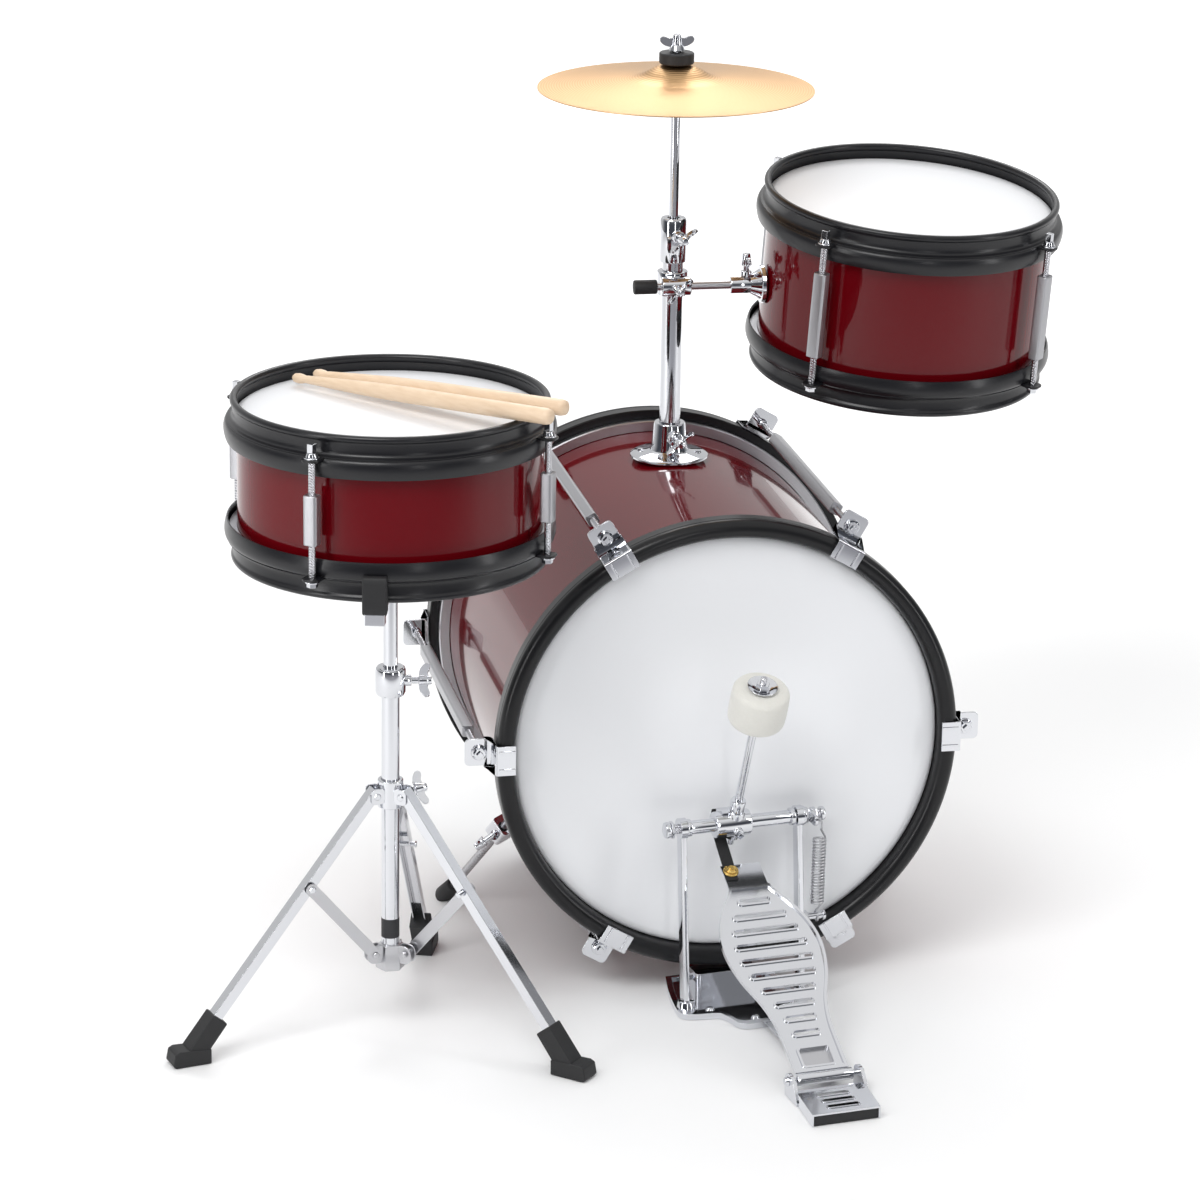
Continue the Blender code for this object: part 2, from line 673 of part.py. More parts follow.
def make_stand(kit):
    base = body("stand_base", kit, STAND)
    low, high = STAND_COLLAR
    bore = STAND_INNER_R + GAP
    ears = []
    for angle in STAND_LEG_ANGLES:
        where = leg_frame(angle)
        ears.append(block((0.0145, 0.0045, 0.0740), (0.0160, 0.0016, 0.0180), where))
    hub = [(0, 0.0600), (0.0120, 0.0600), (0.0120, 0.0840), (0, 0.0840)]
    collar = [(0, low), (0.0125, low), (0.0135, low + 0.003), (0.0135, high - 0.002), (0.0120, high), (0, high)]
    boss = STAND + Z * ((low + high) / 2)
    side = turned(-10, 1)
    body_of_tube = cut(
        union(
            rod(STAND + Z * 0.062, STAND + Z * (high - 0.01), STAND_TUBE_R, 16),
            lathe(hub, Matrix.Translation(STAND), 18),
            lathe(collar, Matrix.Translation(STAND), 20),
            rod(boss, boss + side * 0.0185, 0.0055, 10),
            *ears,
        ),
        rod(STAND + Z * 0.200, STAND + Z * (high + 0.01), bore, 16),
    )
    piece("stand_lower_tube", base, "chrome", body_of_tube)

    bolt_at = boss + side * (0.0185 + GAP)
    bolt = body("stand_height_wing_bolt", base, bolt_at)
    piece("stand_height_wing_bolt", bolt, "chrome", *wing_bolt(bolt_at, side, Z + Y, 0.006))
    make_legs(base)
    make_basket(base)


def make_legs(base):
    level = LEG_PIVOT.z
    slider = body("leg_collar", base, STAND + Z * level)
    ring = [
        (STAND_TUBE_R + GAP, level - 0.0130), (0.0115, level - 0.0130),
        (0.0115, level + 0.0130), (STAND_TUBE_R + GAP, level + 0.0130),
    ]
    ears = []
    for angle in STAND_LEG_ANGLES:
        for offset in (-0.0072, 0.0072):
            ears.append(block((0.0150, offset, level), (0.0120, 0.0016, 0.0140), leg_frame(angle)))
    side = turned(14, 1)
    knob = wing_bolt(STAND + Z * level + side * 0.0110, side, Z + Y, 0.012)
    piece("leg_collar", slider, "chrome", lathe(ring, Matrix.Translation(STAND), 20), *ears, *knob)

    for number, angle in enumerate(STAND_LEG_ANGLES, 1):
        where = leg_frame(angle)
        along = (LEG_FOOT - LEG_PIVOT).normalized()
        leg = body(f"stand_leg_{number}", slider, where @ LEG_PIVOT)
        run = (LEG_FOOT - LEG_PIVOT).length
        strip = where @ frame_at(LEG_PIVOT, along, Y)
        toe = [
            (-0.0050, 0.0), (0.0290, 0.0), (0.0310, 0.0030), (0.0290, 0.0130), (0.0250, 0.0150),
            (0.0156, 0.0150), (-0.0078, 0.0453), (-0.0210, 0.0347), (-0.0050, 0.0140),
        ]
        pad_place = where @ Matrix.Translation((LEG_FOOT.x, 0, 0)) @ Matrix.Rotation(math.radians(90), 4, "X")
        piece(
            f"stand_leg_{number}", leg, "chrome",
            block((0, 0, (run + 0.004) / 2), (0.0120, 0.0060, run - 0.002), strip),
            plate(toe, -0.0105, 0.0105, pad_place),
        )
        hold = LEG_PIVOT.lerp(LEG_FOOT, BRACE_ON_LEG)
        brace = body(f"stand_brace_{number}", base, where @ BRACE_PIVOT)
        reach = (hold - BRACE_PIVOT).length
        link = where @ frame_at(BRACE_PIVOT + Y * 0.0085, hold - BRACE_PIVOT, Y)
        piece(
            f"stand_brace_{number}", brace, "steel",
            block((0, 0, reach / 2), (0.0016, 0.0110, reach + 0.011), link),
        )


def make_basket(base):
    top = body("stand_top", base, STAND + Z * STAND_COLLAR[1])
    hub_low = BASKET_Z - 0.012
    hub = [(0, hub_low), (0.0110, hub_low), (0.0125, hub_low + 0.003), (0.0125, BASKET_Z + 0.004), (0, BASKET_Z + 0.004)]
    ears = []
    for angle in BASKET_ANGLES:
        for offset in (-0.0062, 0.0062):
            ears.append(block((0.0150, offset, BASKET_Z - 0.004), (0.0140, 0.0016, 0.0110), leg_frame(angle)))
    piece(
        "stand_upper_tube", top, "chrome",
        rod(STAND + Z * 0.235, STAND + Z * (hub_low + 0.002), STAND_INNER_R, 16),
        lathe(hub, Matrix.Translation(STAND), 18),
        *ears,
    )
    for number, angle in enumerate(BASKET_ANGLES, 1):
        where = leg_frame(angle)
        pivot = Vector((0.0175, 0, BASKET_Z - 0.004))
        arm = body(f"basket_arm_{number}", top, where @ pivot)
        bar = [
            (0.0145, BASKET_Z - 0.0075), (0.1500, BASKET_Z + 0.0045), (0.1530, BASKET_Z + 0.0080),
            (0.1530, BASKET_Z + 0.0440), (0.1452, BASKET_Z + 0.0440), (0.1452, BASKET_Z + 0.0365),
            (0.1405, BASKET_Z + 0.0300), (0.1405, BASKET_Z + 0.0197), (0.1290, BASKET_Z + 0.0197),
            (0.1290, BASKET_Z + 0.0110), (0.0145, BASKET_Z - 0.0010),
        ]
        upright = where @ Matrix.Rotation(math.radians(90), 4, "X")
        pad = [
            (0.1396, BASKET_Z + 0.0140), (0.1550, BASKET_Z + 0.0140), (0.1550, BASKET_Z + 0.0470),
            (0.1448, BASKET_Z + 0.0470), (0.1448, BASKET_Z + 0.0360), (0.1396, BASKET_Z + 0.0290),
        ]
        piece(
            f"basket_arm_{number}", arm, "steel",
            plate(bar, -0.0050, 0.0050, upright),
            plate(pad, -0.0105, 0.0105, upright),
        )
    make_snare(top)


# ---------------------------------------------------------------- pedal
def pedal_frame_matrix():
    return Matrix.Translation(PEDAL_PLACE) @ Matrix.Rotation(math.radians(PEDAL_TURN), 4, "Z")


def pedal_frame_shapes(place):
    """The stamped base plate, the hoop rest, the two posts, the spring pin and the link to the heel."""
    left_side = [
        (-0.046, 0.052), (-0.060, -0.004), (-0.0635, -0.030), (-0.060, -0.037), (-0.050, -0.041),
        (-0.029, -0.043), (-0.022, -0.069), (-0.016, -0.075),
    ]
    plate_outline = left_side + [(-x, y) for x, y in reversed(left_side)]
    lean = -0.018
    shapes = [
        plate(plate_outline, 0.0, 0.006, place),
        block((0, 0.030, 0.0115), (0.060, 0.036, 0.0190), place),
        block((0.0120, -0.1380, 0.0035), (0.016, 0.144, 0.0030), place),
    ]
    for side in POST_SIDES:
        foot = place @ Vector((side, lean, 0.003))
        top = place @ Vector((side, 0, AXLE_Z))
        upright = frame_at(foot, top - foot, place.to_3x3() @ X)
        reach = (top - foot).length
        shapes.append(block((0, 0, reach / 2 + 0.004), (0.0060, 0.0130, reach + 0.008), upright))
    pin_z = 0.0750
    shapes.append(rod(place @ Vector((POST_SIDES[1], lean * 0.5, pin_z)),
                      place @ Vector((0.0860, lean * 0.5, pin_z)), 0.0035, 10))
    return shapes


def make_pedal(kit):
    place = pedal_frame_matrix()
    across = place.to_3x3() @ X
    bearing = rod(place @ Vector((-0.07, 0, AXLE_Z)), place @ Vector((0.07, 0, AXLE_Z)), 0.0042 + GAP, 12)
    piece("pedal_frame", kit, "chrome", cut(union(*pedal_frame_shapes(place)), bearing))
    make_heel(kit, place)
    make_footboard(kit, place)

    centre = place @ Vector((0, 0, AXLE_Z))
    axle = body("pedal_axle", kit, centre)
    cam = [(CAM_R * math.cos(math.radians(turn)), CAM_R * math.sin(math.radians(turn))) for turn in range(-60, 121, 20)]
    cam_place = frame_at(centre - across * 0.016, across, place.to_3x3() @ Y)
    lean = math.radians(BEATER_LEAN)
    shaft_up = place.to_3x3() @ Vector((0, -math.sin(lean), math.cos(lean)))
    hub_at = centre + across * BEATER_SIDE
    left, right = AXLE_ENDS
    lever = place @ Vector((0.0715, -0.0070, AXLE_Z))
    piece(
        "pedal_axle", axle, "chrome",
        cut(
            union(
                rod(place @ Vector((left, 0, AXLE_Z)), place @ Vector((right, 0, AXLE_Z)), 0.0042, 12),
                rod(place @ Vector((-0.0485, 0, AXLE_Z)), place @ Vector((0.0560, 0, AXLE_Z)), 0.0065, 12),
                rod(place @ Vector((left - 0.0060, 0, AXLE_Z)), place @ Vector((left + 0.0030, 0, AXLE_Z)), 0.0080, 12),
                rod(centre - across * 0.022, centre + across * 0.012, 0.0120, 16),
                rod(hub_at - shaft_up * 0.014, hub_at + shaft_up * 0.028, 0.0085, 12),
                plate(cam, 0.0, 0.010, cam_place),
                block((0, 0, 0), (0.003, 0.0260, 0.010), frame_at(lever, Z, across)),
            ),
            rod(hub_at - shaft_up * 0.03, hub_at + shaft_up * 0.04, 0.0040 + GAP, 12),
        ),
    )

    beater = body("beater", axle, hub_at)
    piece(
        "beater_shaft", beater, "steel",
        rod(hub_at - shaft_up * 0.024, hub_at + shaft_up * (BEATER_REACH + 0.006), 0.0040, 12),
        rod(hub_at + shaft_up * (BEATER_REACH + GAP), hub_at + shaft_up * (BEATER_REACH + 0.003), 0.0150, 20),
        rod(hub_at + shaft_up * (BEATER_REACH + 0.002), hub_at + shaft_up * (BEATER_REACH + 0.010), 0.0062, 6),
    )
    felt_low = BEATER_REACH - FELT_LENGTH
    edge = 0.0050
    outline = [
        (0.0043, 0), (FELT_R - edge, 0), (FELT_R, edge), (FELT_R, FELT_LENGTH - edge),
        (FELT_R - edge, FELT_LENGTH), (0.0043, FELT_LENGTH),
    ]
    felt_place = frame_at(hub_at + shaft_up * felt_low, shaft_up)
    piece("beater_felt", beater, "felt", lathe(outline, felt_place, 24))
    make_spring(kit, place)


def make_heel(kit, place):
    """A low plate behind the hinge, with an upright ear at each end of the hinge."""
    rear = HINGE_Y - 0.0660
    front = HINGE_Y - 0.0140
    top = [(-0.0375, rear), (0.0265, rear), (0.0325, front), (-0.0325, front)]
    upright = place @ Matrix.Translation((0, HINGE_Y, 0)) @ Matrix(((0, 0, 1, 0), (1, 0, 0, 0), (0, 1, 0, 0), (0, 0, 0, 1)))
    slots = [block((-0.0035, HINGE_Y - 0.0290 - 0.0125 * i, 0.01), (0.0300, 0.0055, 0.03), place) for i in range(3)]
    shapes = [cut(plate(top, 0.0, 0.0115, place), *slots)]
    ear = [(-0.020, 0.0), (0.0060, 0.0), (0.0060, 0.0180), (-0.0040, 0.0220), (-0.0120, 0.0180), (-0.020, 0.0110)]
    for side in (-1, 1):
        shapes.append(plate(ear, side * 0.0325 - 0.0018, side * 0.0325 + 0.0018, upright))
    for side in (-1, 1):
        shapes.append(rod(place @ Vector((side * 0.0370, HINGE_Y, HINGE_Z)),
                          place @ Vector((side * 0.0270, HINGE_Y, HINGE_Z)), 0.0028, 10))
    piece("heel_plate", kit, "chrome", *shapes)


def width_at(half, level):
    """Half the width of an outline at one level, between its listed points."""
    for (x0, y0), (x1, y1) in zip(half, half[1:]):
        if y0 <= level <= y1:
            return x0 + (x1 - x0) * (level - y0) / (y1 - y0)
    return half[-1][0]


def make_footboard(kit, place):
    hinge = place @ Vector((0, HINGE_Y, HINGE_Z))
    board = body("footboard", kit, hinge)
    across = place.to_3x3() @ X
    slope = math.radians(BOARD_SLOPE)
    along = place.to_3x3() @ Vector((0, math.cos(slope), math.sin(slope)))
    where = frame_at(hinge, across.cross(along), across)
    half = [
        (0.0255, 0.006), (0.0255, 0.030), (0.0262, 0.060), (0.0320, 0.085), (0.0430, 0.115),
        (0.0470, 0.145), (0.0430, 0.172), (0.0330, 0.195), (0.0200, 0.216), (0.0190, 0.246),
    ]
    outline = half + [(-x, y) for x, y in reversed(half)]
    sole = plate(outline, -0.0020, 0.0010, where)
    knuckle = rod(hinge - across * 0.0262, hinge + across * 0.0262, 0.0055, 12)
    neck = block((0, 0.006, 0), (0.0480, 0.0120, 0.0050), where)
    pin_hole = rod(hinge - across * 0.05, hinge + across * 0.05, 0.0028 + GAP, 10)
    slots = []
    for i in range(SLOT_COUNT):
        level = 0.0490 + 0.0168 * i
        slots.append(block((0, level, 0), (2 * width_at(half, level) - 0.0250, 0.0055, 0.02), where))
    piece("footboard", board, "chrome", cut(union(sole, knuckle, neck), pin_hole, *slots))

    strap_points = [where @ Vector((-0.0125, 0.215, 0.0024)), where @ Vector((-0.0125, 0.238, 0.0024))]
    for turn in (-47, -20, 7, 34):
        over = math.radians(turn)
        run = Vector((-0.0125, 0.0172 * math.cos(over), AXLE_Z + 0.0172 * math.sin(over)))
        strap_points.append(place @ run)
    strap = []
    for start, end in zip(strap_points, strap_points[1:]):
        run = end - start
        face = frame_at((start + end) / 2, run, across)
        strap.append(block((0, 0, 0), (0.0110, 0.0018, run.length + 0.0016), face))
    bolt_at = where @ Vector((-0.0118, 0.226, 0.0030))
    strap.append(rod(bolt_at, bolt_at + across.cross(along) * 0.0040, 0.0070, 12))
    piece("pedal_strap", board, "strap", *strap)


def make_spring(kit, place):
    """The return spring as one closed outer cylinder between its two hooks."""
    x = 0.0780
    low = place @ Vector((x, -0.0090, 0.0750 + 0.0035 + GAP + 0.001))
    high = place @ Vector((x, -0.0120, AXLE_Z - 0.0075))
    up = (high - low).normalized()
    piece(
        "pedal_spring", kit, "steel",
        rod(low, high, 0.0012, 8),
        rod(low + up * 0.008, high - up * 0.012, 0.0060, 14),
    )


def main():
    for old in list(bpy.data.objects):
        bpy.data.objects.remove(old)
    kit = body("kit")
    kit.location = -BOX_MIDDLE
    make_bass(kit)
    make_spurs(kit)
    make_post(kit)
    make_stand(kit)
    make_pedal(kit)


main()
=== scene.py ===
"""The looks of the junior drum kit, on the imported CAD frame.

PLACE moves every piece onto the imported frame.
"""

import math

import bmesh
import bpy
from mathutils import Matrix, Vector
from mathutils.geometry import tessellate_polygon


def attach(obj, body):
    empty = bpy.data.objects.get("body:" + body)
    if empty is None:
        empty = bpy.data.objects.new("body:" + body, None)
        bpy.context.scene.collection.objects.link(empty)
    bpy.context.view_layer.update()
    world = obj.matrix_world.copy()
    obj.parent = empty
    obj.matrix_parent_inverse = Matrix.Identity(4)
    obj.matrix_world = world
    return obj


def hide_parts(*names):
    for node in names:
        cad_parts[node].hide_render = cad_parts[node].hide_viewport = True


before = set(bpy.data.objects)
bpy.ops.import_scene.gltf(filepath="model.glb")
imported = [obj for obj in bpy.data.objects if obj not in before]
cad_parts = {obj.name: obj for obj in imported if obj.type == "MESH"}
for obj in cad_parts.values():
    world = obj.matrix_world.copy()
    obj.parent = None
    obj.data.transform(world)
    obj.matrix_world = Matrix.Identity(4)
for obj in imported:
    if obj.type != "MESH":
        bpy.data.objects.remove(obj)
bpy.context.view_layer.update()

PLACE = Matrix.Translation((0.0803, -0.04625, 0.0))
X, Y, Z = Vector((1, 0, 0)), Vector((0, 1, 0)), Vector((0, 0, 1))
ROUND = 144

BASS_AXIS_Z = 0.2379
BASS_DEPTH = 0.394
BASS_HOOP_R = 0.2145
BASS_HOOP_WALL = 0.0170
BASS_HOOP_BACK = 0.0200
BASS_SHELL_R = 0.1955
BASS_FLESH_R = 0.2060
BASS_ROD_R = 0.2275

SPUR_BLOCK = Vector((-0.1800, 0.1600, 0.1100))
SPUR_TIP = Vector((-0.2174, 0.2690, 0.0000))

POST_Y = 0.2759
POST_TOP = 0.6669
COLLAR_LOW = 0.6246
CLAMP_Z = 0.6045
ARM_OFFSET = 0.0165
CYMBAL_R = 0.1290
CYMBAL_RIM_Z = 0.7889
CYMBAL_ROD_TOP = 0.8405
BASE_BOLT_ANGLE = -86.0
COLLAR_BOLT_ANGLE = -82.0

BEAD_R = 0.1389
DRUM_SHELL_R = 0.1331
LUG_R = 0.1500
SNARE_TOP = Vector((-0.3180, -0.0400, 0.5938))
SNARE_HEIGHT = 0.1458
SNARE_LUG_ANGLE = -125.0
TOM_TOP = Vector((0.2219, 0.2444, 0.6948))
TOM_HEIGHT = 0.1770
TOM_TILT = 6.4
TOM_TILT_TOWARDS = -69.4
TOM_LUG_ANGLE = -136.4

STAND = Vector((-0.3180, -0.0400, 0.0))
LEG_ANGLES = (-166.5, -42.0, 71.4)
LEG_PIVOT = Vector((0.0155, 0.0, 0.2275))
LEG_FOOT = Vector((0.1800, 0.0, 0.0220))
BRACE_PIVOT = Vector((0.0175, 0.0, 0.0775))
BRACE_ON_LEG = 0.381
BASKET_Z = 0.4280
BASKET_ANGLES = (-104.0, 16.0, 136.0)

PEDAL_PLACE = Vector((0.0030, -0.0200, 0.0))
PEDAL_TURN = 8.0
AXLE_Z = 0.1715
POST_SIDES = (-0.0525, 0.0605)
AXLE_ENDS = (-0.0635, 0.0860)
BEATER_SIDE = -0.0020
HINGE_Y, HINGE_Z = -0.2240, 0.0150
BOARD_SLOPE = 29.5
SLOT_COUNT = 10
BEATER_LEAN = 22.0
BEATER_REACH = 0.1605
FELT_R = 0.0260
FELT_LENGTH = 0.0380

STICK_ENDS = (
    (Vector((-0.2010, -0.1690, 0.6037)), Vector((-0.3900, 0.0530, 0.5866))),
    (Vector((-0.1830, -0.1430, 0.6037)), Vector((-0.3700, 0.0640, 0.5866))),
)

# Where the camera stands, and its yaw, downward pitch and roll in radians
CAMERA_AT = (-0.91077, -3.79933, 1.63619)
CAMERA_ANGLES = (0.2029, 0.3061, 0.0144)


# ---------------------------------------------------------------- materials
def new_material(name, colour, roughness, metallic=0.0):
    made = bpy.data.materials.new("look_" + name)
    made.use_nodes = True
    shader = made.node_tree.nodes["Principled BSDF"]
    shader.inputs["Base Color"].default_value = (*colour, 1)
    shader.inputs["Roughness"].default_value = roughness
    shader.inputs["Metallic"].default_value = metallic
    return made, shader


def add_node(material, kind, **values):
    node = material.node_tree.nodes.new(kind)
    for key, value in values.items():
        if key in node.inputs:
            node.inputs[key].default_value = value
        else:
            setattr(node, key, value)
    return node


def join(material, out, into):
    material.node_tree.links.new(out, into)


def textured(material, shader, texture, bump=0.2, distance=0.0004, stretch=(1, 1, 1)):
    """A bump from a texture in object space."""
    place = add_node(material, "ShaderNodeTexCoord")
    scale = add_node(material, "ShaderNodeMapping")
    scale.inputs["Scale"].default_value = stretch
    join(material, place.outputs["Object"], scale.inputs["Vector"])
    join(material, scale.outputs["Vector"], texture.inputs["Vector"])
    relief = add_node(material, "ShaderNodeBump", Strength=bump, Distance=distance)
    join(material, texture.outputs[0], relief.inputs["Height"])
    join(material, relief.outputs["Normal"], shader.inputs["Normal"])


def mixed_colour(material, shader, factor, first, second):
    ramp = add_node(material, "ShaderNodeValToRGB")
    ramp.color_ramp.elements[0].color = (*first, 1)
    ramp.color_ramp.elements[1].color = (*second, 1)
    join(material, factor, ramp.inputs["Fac"])
    join(material, ramp.outputs["Color"], shader.inputs["Base Color"])
    return ramp


def coated(name, colour, roughness, coat, coat_roughness=0.04, gloss=0.5):
    made, shader = new_material(name, colour, roughness)
    shader.inputs["Specular IOR Level"].default_value = gloss
    shader.inputs["Coat Weight"].default_value = coat
    shader.inputs["Coat Roughness"].default_value = coat_roughness
    noise = add_node(made, "ShaderNodeTexNoise", Scale=7.0, Detail=3.0)
    textured(made, shader, noise, 0.05, 0.0015)
    return made


def grainy(name, colour, roughness, metallic=0.0, scale=900.0, bump=0.10):
    made, shader = new_material(name, colour, roughness, metallic)
    noise = add_node(made, "ShaderNodeTexNoise", Scale=scale, Detail=3.0)
    textured(made, shader, noise, bump, 0.0002)
    return made


def cymbal_material():
    """Brass with lathe rings round the cymbal's centre."""
    made, shader = new_material("cymbal", (0.62, 0.42, 0.15), 0.37, 1.0)
    shader.inputs["Anisotropic"].default_value = 0.5
    place = add_node(made, "ShaderNodeTexCoord")
    shift = add_node(made, "ShaderNodeMapping")
    shift.inputs["Location"].default_value = -(PLACE @ Vector((0, POST_Y, 0)))
    shift.inputs["Scale"].default_value = (1, 1, 0)
    join(made, place.outputs["Object"], shift.inputs["Vector"])
    rings = add_node(made, "ShaderNodeTexWave", Scale=130.0, Distortion=1.0, Detail=2.0)
    rings.wave_type = "RINGS"
    rings.rings_direction = "SPHERICAL"
    join(made, shift.outputs["Vector"], rings.inputs["Vector"])
    relief = add_node(made, "ShaderNodeBump", Strength=0.35, Distance=0.0003)
    join(made, rings.outputs["Fac"], relief.inputs["Height"])
    join(made, relief.outputs["Normal"], shader.inputs["Normal"])
    mixed_colour(made, shader, rings.outputs["Fac"], (0.55, 0.33, 0.155), (0.69, 0.45, 0.235))
    return made


def wood_material():
    made, shader = new_material("maple", (0.78, 0.58, 0.36), 0.38)
    grain = add_node(made, "ShaderNodeTexNoise", Scale=60.0, Detail=5.0)
    textured(made, shader, grain, 0.06, 0.0003, (1, 1, 6))
    mixed_colour(made, shader, grain.outputs["Fac"], (0.70, 0.50, 0.32), (0.90, 0.72, 0.54))
    return made


def felt_material():
    made, shader = new_material("felt", (0.74, 0.73, 0.68), 0.95)
    shader.inputs["Sheen Weight"].default_value = 0.4
    noise = add_node(made, "ShaderNodeTexNoise", Scale=420.0, Detail=6.0)
    textured(made, shader, noise, 0.7, 0.0012)
    return made


def head_material():
    made, shader = new_material("head", (0.84, 0.85, 0.87), 0.42)
    shader.inputs["Coat Weight"].default_value = 0.15
    shader.inputs["Coat Roughness"].default_value = 0.25
    noise = add_node(made, "ShaderNodeTexNoise", Scale=350.0, Detail=2.0)
    textured(made, shader, noise, 0.04, 0.0002)
    return made


def thread_material():
    """Chrome with the fine rings of a screw thread along Y or Z."""
    made, shader = new_material("thread", (0.62, 0.62, 0.65), 0.22, 1.0)
    wave = add_node(made, "ShaderNodeTexWave", Scale=260.0)
    wave.bands_direction = "DIAGONAL"
    textured(made, shader, wave, 0.6, 0.0006)
    return made


def floor_material():
    made, shader = new_material("floor", (0.92, 0.92, 0.92), 0.8)
    place = add_node(made, "ShaderNodeTexCoord")
    parts = add_node(made, "ShaderNodeSeparateXYZ")
    join(made, place.outputs["Object"], parts.inputs["Vector"])
    # Painted shade: the floor turns from pale to dark grey in front of the kit (y -0.55 to -1.90), a dark
    # patch standing in for a shaded studio side that the wrap reflects
    far = add_node(made, "ShaderNodeMapRange")
    far.interpolation_type = "SMOOTHSTEP"
    far.inputs["From Min"].default_value = -0.55
    far.inputs["From Max"].default_value = -1.90
    join(made, parts.outputs["Y"], far.inputs["Value"])
    mixed_colour(made, shader, far.outputs["Result"], (0.92, 0.92, 0.92), (0.26, 0.26, 0.28))
    # Painted light: the floor behind the kit glows white, its emission rising from y 0.60 to 3.50, though it
    # is no lamp
    painted_glow = add_node(made, "ShaderNodeMapRange")
    painted_glow.interpolation_type = "SMOOTHSTEP"
    painted_glow.inputs["From Min"].default_value = 0.60
    painted_glow.inputs["From Max"].default_value = 3.50
    painted_glow.inputs["To Max"].default_value = 0.45
    join(made, parts.outputs["Y"], painted_glow.inputs["Value"])
    join(made, painted_glow.outputs["Result"], shader.inputs["Emission Strength"])
    shader.inputs["Emission Color"].default_value = (1, 1, 1, 1)
    return made


LOOKS = {
    "wrap": coated("wrap", (0.128, 0.0014, 0.0045), 0.14, 0.55, 0.03, 0.05),
    "black_hoop": coated("black_hoop", (0.006, 0.006, 0.007), 0.36, 0.30, 0.18, 0.20),
    "black_steel": coated("black_steel", (0.008, 0.008, 0.010), 0.34, 0.30, 0.22, 0.30),
    "head": head_material(),
    "chrome": grainy("chrome", (0.72, 0.73, 0.76), 0.07, 1.0, 300.0, 0.02),
    "satin": grainy("satin", (0.56, 0.56, 0.58), 0.30, 1.0, 900.0, 0.10),
    "grey_metal": grainy("grey_metal", (0.46, 0.46, 0.48), 0.30, 0.85, 900.0, 0.06),
    "thread": thread_material(),
    "cymbal": cymbal_material(),
    "brass": grainy("brass", (0.66, 0.45, 0.14), 0.26, 1.0),
    "rubber": grainy("rubber", (0.012, 0.012, 0.013), 0.60, 0.0, 500.0, 0.3),
    "dark": grainy("dark", (0.02, 0.02, 0.022), 0.55, 0.0, 500.0, 0.2),
    "felt": felt_material(),
    "maple": wood_material(),
    "strap": grainy("strap", (0.014, 0.014, 0.015), 0.85, 0.0, 1500.0, 0.6),
}


# ---------------------------------------------------------------- shapes
def frame_at(origin, up, side=X):
    up = Vector(up).normalized()
    side = Vector(side)
    side = (side - up * side.dot(up)).normalized()
    turn = Matrix((side, up.cross(side), up)).transposed()
    return Matrix.Translation(origin) @ turn.to_4x4()


def shape(points, faces, where=None):
    bm = bmesh.new()
    corners = [bm.verts.new(point) for point in points]
    for face in faces:
        bm.faces.new([corners[i] for i in face])
    bmesh.ops.recalc_face_normals(bm, faces=bm.faces)
    if where is not None:
        bmesh.ops.transform(bm, matrix=where, verts=bm.verts)
    return bm


def lathe(outline, where=None, steps=ROUND):
    points, rings = [], []
    for radius, height in outline:
        if radius == 0:
            rings.append([len(points)] * steps)
            points.append((0, 0, height))
            continue
        rings.append(range(len(points), len(points) + steps))
        for i in range(steps):
            angle = 2 * math.pi * i / steps
            points.append((radius * math.cos(angle), radius * math.sin(angle), height))
    faces = []
    for ring, after in zip(rings, rings[1:] + rings[:1]):
        for i in range(steps):
            j = (i + 1) % steps
            face = list(dict.fromkeys([ring[i], ring[j], after[j], after[i]]))
            if len(face) > 2:
                faces.append(face)
    return shape(points, faces, where)


def side_for(direction):
    return Y if abs(Vector(direction).normalized().x) > 0.9 else X


def rod(start, end, radius, sides=32, end_radius=None, edge=0.0):
    """A round bar or cone, its end rims rounded off by edge."""
    start, end = Vector(start), Vector(end)
    length = (end - start).length
    last = radius if end_radius is None else end_radius
    if edge:
        outline = [(0, 0), (radius - edge, 0), (radius - edge * 0.3, edge * 0.3), (radius, edge),
                   (last, length - edge), (last - edge * 0.3, length - edge * 0.3), (last - edge, length),
                   (0, length)]
    else:
        outline = [(0, 0), (radius, 0), (last, length), (0, length)]
    return lathe(outline, frame_at(start, end - start, side_for(end - start)), sides)


def plate(outline, low, high, where=None):
    count = len(outline)
    points = [(x, y, low) for x, y in outline] + [(x, y, high) for x, y in outline]
    faces = [list(range(count)), list(range(count, 2 * count))]
    for i in range(count):
        j = (i + 1) % count
        faces.append([i, j, count + j, count + i])
    return shape(points, faces, where)


def pierced(outline, holes, low, high, where=None):
    """A flat plate with holes through it."""
    loops = [outline, *holes]
    flat = [point for loop in loops for point in loop]
    count = len(flat)
    points = [(x, y, low) for x, y in flat] + [(x, y, high) for x, y in flat]
    triangles = tessellate_polygon([[Vector((x, y, 0)) for x, y in loop] for loop in loops])
    faces = [list(face) for face in triangles] + [[count + i for i in face] for face in triangles]
    start = 0
    for loop in loops:
        for i in range(len(loop)):
            j = (i + 1) % len(loop)
            faces.append([start + i, start + j, count + start + j, count + start + i])
        start += len(loop)
    return shape(points, faces, where)


def block(middle, size, where=None):
    (x, y, z), (a, b, c) = middle, [side / 2 for side in size]
    return plate([(x - a, y - b), (x + a, y - b), (x + a, y + b), (x - a, y + b)], z - c, z + c, where)


def rounded(width, depth, radius, middle=(0, 0), steps=6):
    """The outline of a rectangle with round corners."""
    outline = []
    for cx, cy, start in ((1, 1, 0), (-1, 1, 90), (-1, -1, 180), (1, -1, 270)):
        for i in range(steps + 1):
            turn = math.radians(start + 90 * i / steps)
            outline.append((
                middle[0] + cx * (width / 2 - radius) + radius * math.cos(turn),
                middle[1] + cy * (depth / 2 - radius) + radius * math.sin(turn),
            ))
    return outline


